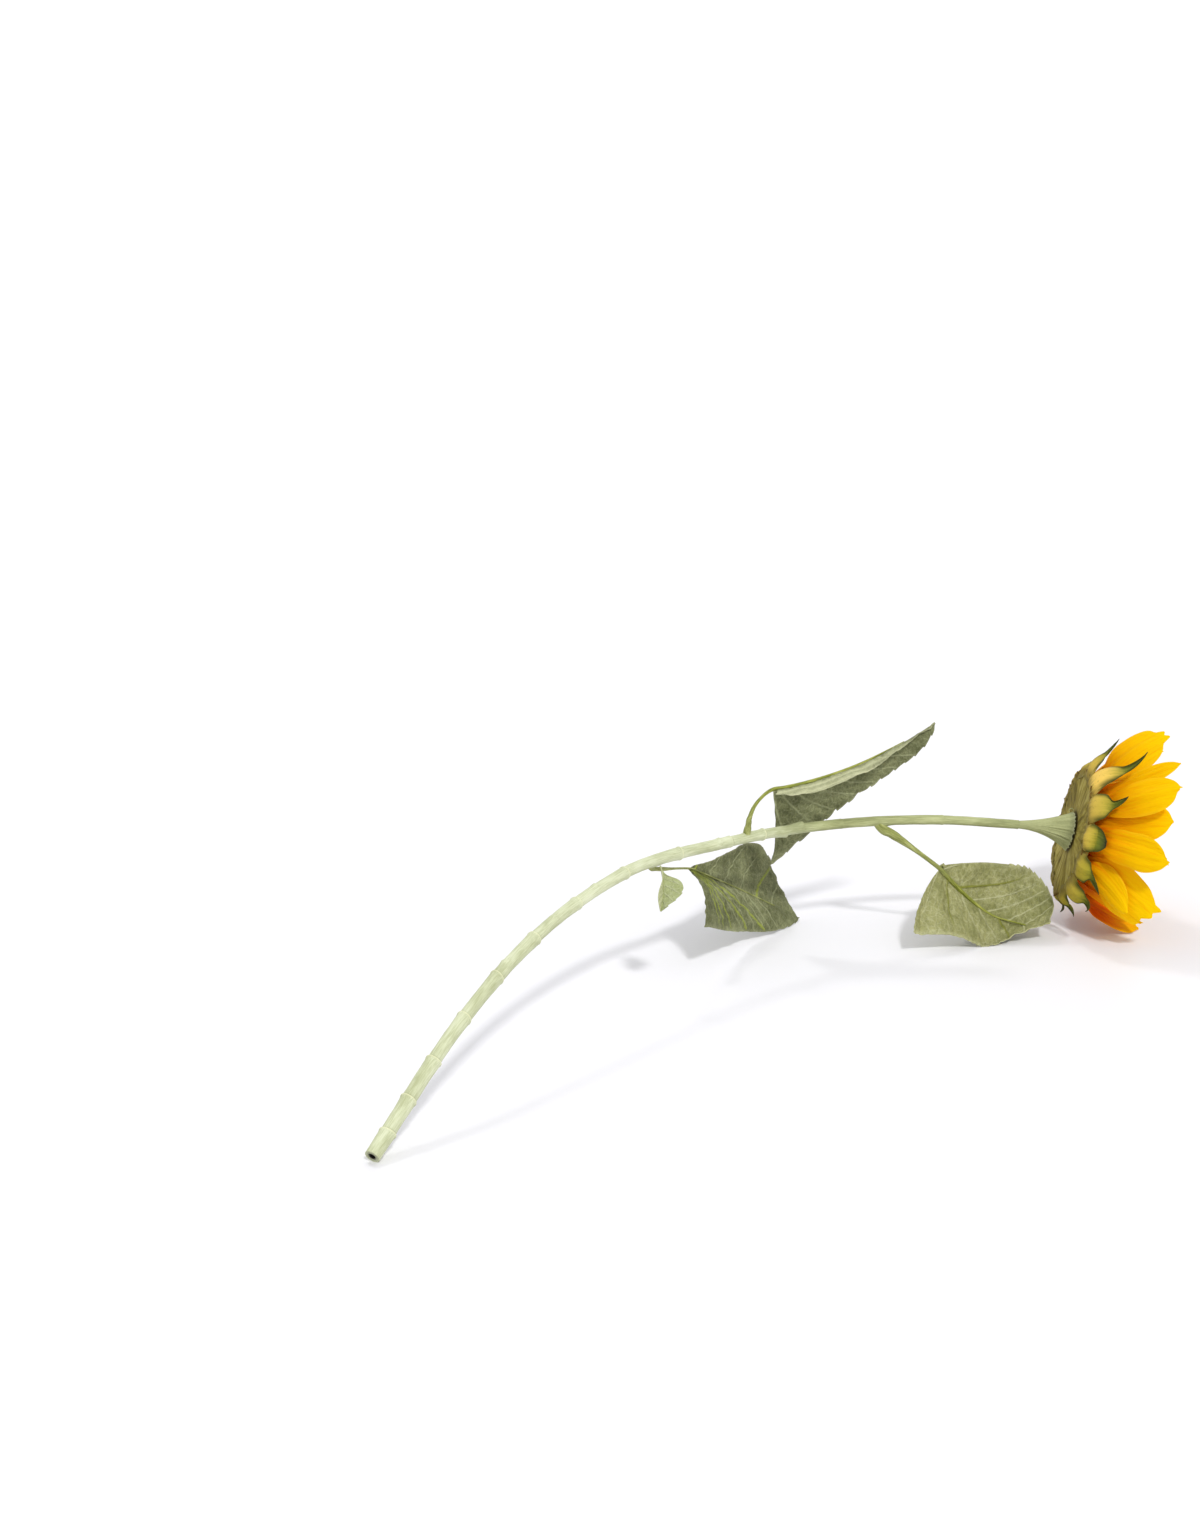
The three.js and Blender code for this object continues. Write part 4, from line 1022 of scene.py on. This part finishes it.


# What the leaves share, and then each leaf's blade and stalk. A fold is the angle of half the blade above
# the level, at its base and tip. toothed is where its teeth start. A vein is where it leaves the rib, its
# slope, its bend, and 1 where it is raised and olive. stalk lists distances and radii.
# In each half of a leaf, pale is how much painted highlight it carries; the upper leaf's rolled strip has
# most.
leafForm = {
    "rows": 200, "columns": 48, "outline": 0.012, "thickness": 0.55, "veinThickness": 0.35, "floor": 0.4,
    "paleEdge": 0.2, "edgeWave": 0.5, "pucker": 0.8, "crinkle": 0.34, "ripple": 0.3, "pleat": 0.35,
    "stalkRows": 260, "stalkColumns": 28,
}
leaves = {
    "near": {
        "cover": "leaf_sage", "seed": 10, "lean": 62, "rootReach": 9, "rootOut": 1.6,
        "base": [536.3, 53, 48.4], "bend": [591.6, 38.7, -14.4], "tip": [582, -12.6, 15.7], "baseBow": 2,
        "teeth": 17, "toothDepth": 1.7, "veinEnd": 0.8, "veinRise": 0.45, "wave": 1.3, "paleEdge": 0.35,
        "right": {
            "widths": [63.9, 49.5, 41.5, 41, 43.4], "fold": [-61.5, -2.7], "curl": 0.17, "lobe": 8,
            "toothed": (0.72, 0.85), "pale": 0.0,
            "veins": [(0.0, -0.05, 0.0, 0), (0.1, 0.3, 0.0, 1), (0.26, 0.6, 0.004, 0),
                      (0.42, 0.75, 0.004, 0), (0.58, 0.75, 0.006, 1), (0.76, 0.7, 0.006, 0)],
        },
        "left": {
            "widths": [3, 25, 42.2, 52.7, 59.3], "fold": [66.6, 28], "curl": 0.88, "lobe": 0,
            "toothed": (0.42, 0.55), "pale": 0.0,
            "veins": [(0.02, 0.7, 0.006, 0), (0.2, 1.1, 0.004, 1), (0.34, 1.1, 0.004, 0),
                      (0.48, 1.0, 0.006, 0), (0.62, 0.9, 0.008, 0), (0.76, 0.8, 0.008, 0)],
        },
        "ribEnd": 0.78, "lump": 0.25, "greenFrom": 0.5, "stalkSeed": 1,
        "stalk": [(0, 2.4), (5, 2.8), (11, 3.3), (19, 3.0), (28, 2.3), (38, 1.7), (60, 1.55), (85, 1.5),
                  (108, 1.1), (125, 0.6)],
    },
    "upper": {
        "cover": "leaf_slate", "seed": 20, "lean": 5, "rootReach": 15, "rootOut": 0.6,
        "base": [419.7, 107, 116.3], "bend": [473.4, 83.1, 120.6], "tip": [523.3, 51.1, 159.1], "baseBow": -2,
        "teeth": 15, "toothDepth": 1.6, "veinEnd": 0.85, "veinRise": 0.35, "wave": 1.2, "edgeWave": 0.4,
        "right": {
            "widths": [5, 13, 13, 8, 5], "fold": [4, 0], "curl": -4.6, "lobe": 0,
            "toothed": (0.9, 0.95), "pale": 0.85,
            "veins": [(0.1, 1.2, 0.01, 0), (0.35, 1.4, 0.01, 0), (0.6, 1.4, 0.01, 0)],
        },
        "left": {
            "widths": [60.7, 34.3, 16.4, 16.2, 23.7], "fold": [-85.6, -76.3], "curl": 0.34, "lobe": 0,
            "toothed": (0.0, 0.02), "pale": 0.0,
            "veins": [(0.0, 0.1, 0.004, 0), (0.04, 0.5, 0.006, 0), (0.1, 0.9, 0.006, 0), (0.2, 1.3, 0.008, 0),
                      (0.32, 1.5, 0.01, 0), (0.48, 1.6, 0.01, 0), (0.64, 1.6, 0.01, 0)],
        },
        "ribEnd": 0.8, "lump": 0.2, "greenFrom": 0.14, "stalkSeed": 2,
        "stalk": [(0, 2.2), (4, 2.5), (7, 2.5), (9, 2.0), (13, 2.0), (18, 1.5), (30, 1.2), (70, 1.35),
                  (120, 0.9), (150, 0.4)],
    },
    "far": {
        "cover": "leaf_slate", "seed": 30, "lean": 45, "rootReach": 8, "rootOut": 0.4,
        "base": [359.7, 127.7, 66.6], "bend": [403.5, 139.4, 47], "tip": [484, 140.9, 1.5], "baseBow": 2,
        "rows": 210, "columns": 52, "teeth": 19, "toothDepth": 1.7, "veinEnd": 0.9, "veinRise": 0.4,
        "wave": 1.4, "pucker": 1.0,
        "right": {
            "widths": [47.5, 41.7, 35.6, 29.4, 23.6], "fold": [-19.4, -46.7], "curl": -1.52, "lobe": 4.7,
            "toothed": (0.8, 0.88), "pale": 0.0,
            "veins": [(0.01, 0.35, 0.004, 1), (0.02, 1.3, 0.0, 1), (0.03, 2.4, 0.0, 1), (0.01, 0.8, 0.0, 1),
                      (0.05, 1.8, 0.0, 0), (0.12, 3.3, 0.0, 1), (0.2, 1.5, 0.004, 0), (0.3, 1.6, 0.0, 0),
                      (0.42, 1.5, 0.0, 0), (0.52, 1.2, 0.004, 0), (0.62, 1.3, 0.0, 0)],
        },
        "left": {
            "widths": [4.4, 11.2, 25.7, 47.8, 72.5], "fold": [85.6, 38.2], "curl": 0.73, "lobe": -6.2,
            "toothed": (0.7, 0.8), "pale": 0.0,
            "veins": [(0.05, 0.4, 0.006, 1), (0.2, 0.5, 0.006, 0), (0.34, 0.55, 0.006, 0),
                      (0.48, 0.6, 0.006, 0), (0.62, 0.6, 0.008, 1), (0.76, 0.6, 0.008, 0)],
        },
        "ribEnd": 0.78, "lump": 0.2, "greenFrom": 1.2, "stalkSeed": 3,
        "stalk": [(0, 2.0), (6, 2.3), (12, 1.9), (20, 1.5), (34, 1.4), (48, 0.95), (90, 0.75), (130, 0.4)],
    },
}


def bladeReach(u, widths):
    # half the width: the widths blended by Bernstein polynomials, closing at the tip
    order = len(widths)
    total = sum(math.comb(order, k) * u**k * (1 - u) ** (order - k) * w for k, w in enumerate(widths))
    return np.maximum(0.5, total)


def bladePoints(midrib, part, along, across, side):
    # one half of the blade: it leaves the rib by its fold and then curls along an arc
    u = np.clip(along / midrib.length, 0, 1)
    point, tangent, right, top = midrib.at(u * midrib.length)
    curl = part["curl"] * degree
    fold = between(*part["fold"], np.sin(u * math.pi / 2)) * degree
    level = (np.sin(fold + curl * across) - np.sin(fold)) / curl
    rise = (np.cos(fold) - np.cos(fold + curl * across)) / curl
    return (point + np.minimum(along, 0)[..., None] * tangent
            + side * level[..., None] * right + rise[..., None] * top)


def sideVeins(along, across, length, veins):
    # each vein leaves the rib at a share of its length, at a slope, and bends; the marks fall off across it
    olive, pale, nearest = 0 * along, 0 * along, 0 * along + 99
    for share, slope, bend, raised in veins:
        line = share * length + slope * across + bend * across**2
        apart = np.abs(along - line) / np.sqrt(1 + (slope + 2 * bend * across) ** 2)
        mark = hump(apart, 0, (1.0 if raised else 0.55) * (1 - 0.012 * across)) * smooth(48, 26, across)
        olive, pale = (np.maximum(olive, mark), pale) if raised else (olive, np.maximum(pale, mark))
        nearest = np.minimum(nearest, apart)
    return olive, pale, nearest


def bladePiece(name, leaf, midrib):
    # two halves that leave the rib, toothed at the edge, then lifted by veins, puckers and waves
    u = np.linspace(0, 1, leaf["rows"])[:, None]
    half = np.linspace(0, 1, leaf["columns"])
    halves = []
    for side, part in ((-1, leaf["left"]), (1, leaf["right"])):
        seed = leaf["seed"] + side
        tooth = (u * leaf["teeth"] + 0.15 * side + 0.1 * waves(u * 20, 0, 940 + seed)) % 1
        sharp = leaf["toothDepth"] * (1 - tooth) ** 0.8 * smooth(*part["toothed"], u) * smooth(1, 0.97, u)
        sharp = sharp * (1 + 0.35 * waves(u * 22, 0, 900 + seed))
        edge = 1 + leaf["outline"] * waves(u * 8, 0, 910 + seed) * smooth(0, 0.2, u)
        across = half * (bladeReach(u, part["widths"]) * edge + sharp)
        swept = part["lobe"] * np.sin(math.pi / 2 * half) * (1 - u) ** 3
        swept = swept + leaf["baseBow"] * np.sin(math.pi * half) * (1 - u) ** 4
        along = u * midrib.length - swept
        olive, pale, nearest = sideVeins(along, across, midrib.length, part["veins"])
        fade = smooth(1.0, leaf["veinEnd"], half) * smooth(1.02, 0.9, u)
        pillow = smooth(0, 7, nearest) * smooth(0, 5, across)
        folds = part["pale"] * np.sin(across * 1.5 + 1.2 * waves(u * 3, 0, 980 + seed))
        swell = leaf["wave"] * smooth(0.2, 1, half) * waves(along * 0.1, across * 0.1, 920 + seed)
        swell = swell + leaf["pucker"] * (pillow - 0.5) + leaf["pleat"] * folds
        swell = swell + leaf["crinkle"] * waves(along * 0.75, across * 0.75, 930 + seed)
        swell = swell + leaf["ripple"] * waves(along * 0.33, across * 0.4, 970 + seed)
        swell = swell + leaf["edgeWave"] * waves(u * 26, half * 2, 950 + seed) * half**4
        # the pale mark paints a highlight on the rolled strip, lighter and darker over its folds and fading to
        # the tip; it also makes the margins paler
        under = part["pale"] * (0.35 + 0.45 * smooth(1, 4, across)) + 0.25 * folds
        under = under * (1 - 0.5 * smooth(0.45, 0.85, u)) + smooth(0.9, 1, half) * leaf["paleEdge"]
        halves.append({"points": bladePoints(midrib, part, along, across, side), "vein": olive * fade,
                       "line": pale * fade, "swell": swell * smooth(0, 0.12, half), "pale": under,
                       "across": side * across, "along": along})
    left, right = halves
    whole = {k: np.concatenate([left[k][:, :0:-1], right[k]], 1) for k in left}
    points, vein, line = whole["points"], whole["vein"], whole["line"]
    normal = unit(np.cross(np.gradient(points, axis=0), np.gradient(points, axis=1)))
    seen = np.array([-0.636, -0.73, 0.25])  # the veined face is the one turned to this side
    facing = np.where((normal @ seen).mean() < 0, -1.0, 1.0)
    lift = whole["swell"] + leaf["veinRise"] * (vein + 0.5 * line)
    points = points + (facing * lift)[..., None] * normal
    points[..., 2] = np.maximum(points[..., 2], leaf["floor"] - shift[2])
    cloth = stacked(whole["across"], whole["along"], leaf["seed"])
    marks = {"cloth": cloth, "vein": vein, "line": line, "pale": whole["pale"]}
    shape = sheetShape(points, leaf["thickness"] + leaf["veinThickness"] * vein, marks)
    makePiece(f"leaf_blade_{name}", shape, leafFinishes[leaf["cover"]], "leaf_fabric", f"leaf_{name}")


def ribPoint(leaf, midrib, u):
    # a point of the rib: along the middle of the blade's fold, sunk a little into both halves
    point, _, right, top = midrib.at(u * midrib.length)
    ease = math.sin(u * math.pi / 2)
    rightFold = between(*leaf["right"]["fold"], ease) * degree
    leftFold = math.pi - between(*leaf["left"]["fold"], ease) * degree
    middle = (rightFold + leftFold) / 2
    distance = 0.8 * between(1.9, 0.7, u / 0.72) / math.sin(min(math.pi / 2, (leftFold - rightFold) / 2))
    return point + distance * (math.cos(middle) * right + math.sin(middle) * top)


def stalkPiece(name, leaf, midrib, finish):
    # radius: a smooth line through the list of distances and radii, with low lengthwise ridges
    place, leave = stem["stalks"][name]
    point, tangent, right, top = stemPath.at(float(place))
    squarely = right * math.cos(leave * degree) + top * math.sin(leave * degree)
    lean = leaf["lean"] * degree
    root = point + squarely * (stemRadius(place) + leaf["rootOut"])
    out = squarely * math.cos(lean) + tangent * math.sin(lean)
    line = [point - tangent * 4 * math.sin(lean), root, root + out * leaf["rootReach"]]
    line += [ribPoint(leaf, midrib, u) for u in (0, 0.07, 0.18, 0.36, 0.54, leaf["ribEnd"])]
    path = Path(splinePoints(line))
    share = np.linspace(0, 1, leaf["stalkRows"])[:, None]
    distance = share * path.length
    angle = roundAngles(leaf["stalkColumns"])
    ridges = 0.05 * np.cos(5 * angle + 1) + 0.04 * np.cos(9 * angle)
    lumps = leaf["lump"] * waves(distance * 0.5, 2 * np.cos(angle), 950 + leaf["stalkSeed"])
    radius = throughValues(*zip(*leaf["stalk"]), distance) * (1 + ridges) + lumps * smooth(40, 10, distance)
    rings, cloth = ringsAlong(path, np.maximum(radius, 0.12))
    rib = smooth(leaf["greenFrom"] - 0.08, leaf["greenFrom"] + 0.08, share)
    shape = tubeShape(rings, {"cloth": cloth, "rib": rib})
    makePiece(f"leaf_stalk_{name}", shape, finish, "stem_plastic", f"petiole_{name}")


def leafletPiece():
    # a young leaf on a short stalk, like a half-open book whose right half is wide and toothed
    look = {
        "base": [297, 89.5, 91], "bend": [299, 86, 78], "tip": [292.6, 83.5, 62], "thickness": 0.5,
        "rows": 90, "columns": 61, "teeth": 7, "toothDepth": 1.2, "places": [0, 0.1, 0.22, 0.36, 0.6, 0.84, 1],
        "leftFold": 60, "leftWidths": [1, 1.1, 1.8, 3.8, 4.8, 3, 0.4],
        "rightFold": 20, "rightWidths": [1.1, 1.3, 3.5, 11.5, 12.5, 5.5, 0.4],
    }
    midrib = Path(arcThrough(look["base"], look["bend"], look["tip"]))
    u = np.linspace(0, 1, look["rows"])[:, None]
    v = np.linspace(-1, 1, look["columns"])
    fold = np.where(v > 0, look["leftFold"], look["rightFold"]) * degree
    narrow, wide = (throughValues(look["places"], look[key], u) for key in ("leftWidths", "rightWidths"))
    teeth = look["toothDepth"] * (1 - (u * look["teeth"]) % 1) * smooth(0.42, 0.55, u) * smooth(1, 0.95, u)
    reach = v * np.maximum(0.4, np.where(v > 0, narrow, wide + teeth))
    curl = np.abs(v) * (0.5 * waves(u * 4, v * 2, 61) + 0.25 * waves(u * 14, v * 6, 62))
    middle = midrib.rings(u * midrib.length, reach * np.cos(fold), np.abs(reach) * np.sin(fold) + curl)
    line = hump((u * 6 - np.abs(v) * 1.2) % 1, 0.5, 0.08) * smooth(1, 0.8, np.abs(v))
    # the narrow half carries a painted highlight by the pale mark
    marks = {"cloth": stacked(reach, u * midrib.length, 70.0), "vein": hump(reach, 0, 0.45), "line": line,
             "pale": 0.6 * smooth(-0.05, 0.1, v)}
    shape = sheetShape(middle, look["thickness"], marks)
    makePiece("young_leaf", shape, leafFinishes["leaf_young"], "leaf_fabric", "leaflet")


leafFinishes = {name: leafPaint(name) for name in leafShades}
stalkFinish = stalkPaint()
for leafName, ownForm in leaves.items():
    leaf = {**leafForm, **ownForm}
    midrib = Path(arcThrough(leaf["base"], leaf["bend"], leaf["tip"]))
    bladePiece(leafName, leaf, midrib)
    stalkPiece(leafName, leaf, midrib, stalkFinish)
print("leaves made")

leafletPiece()
print("young leaf made")
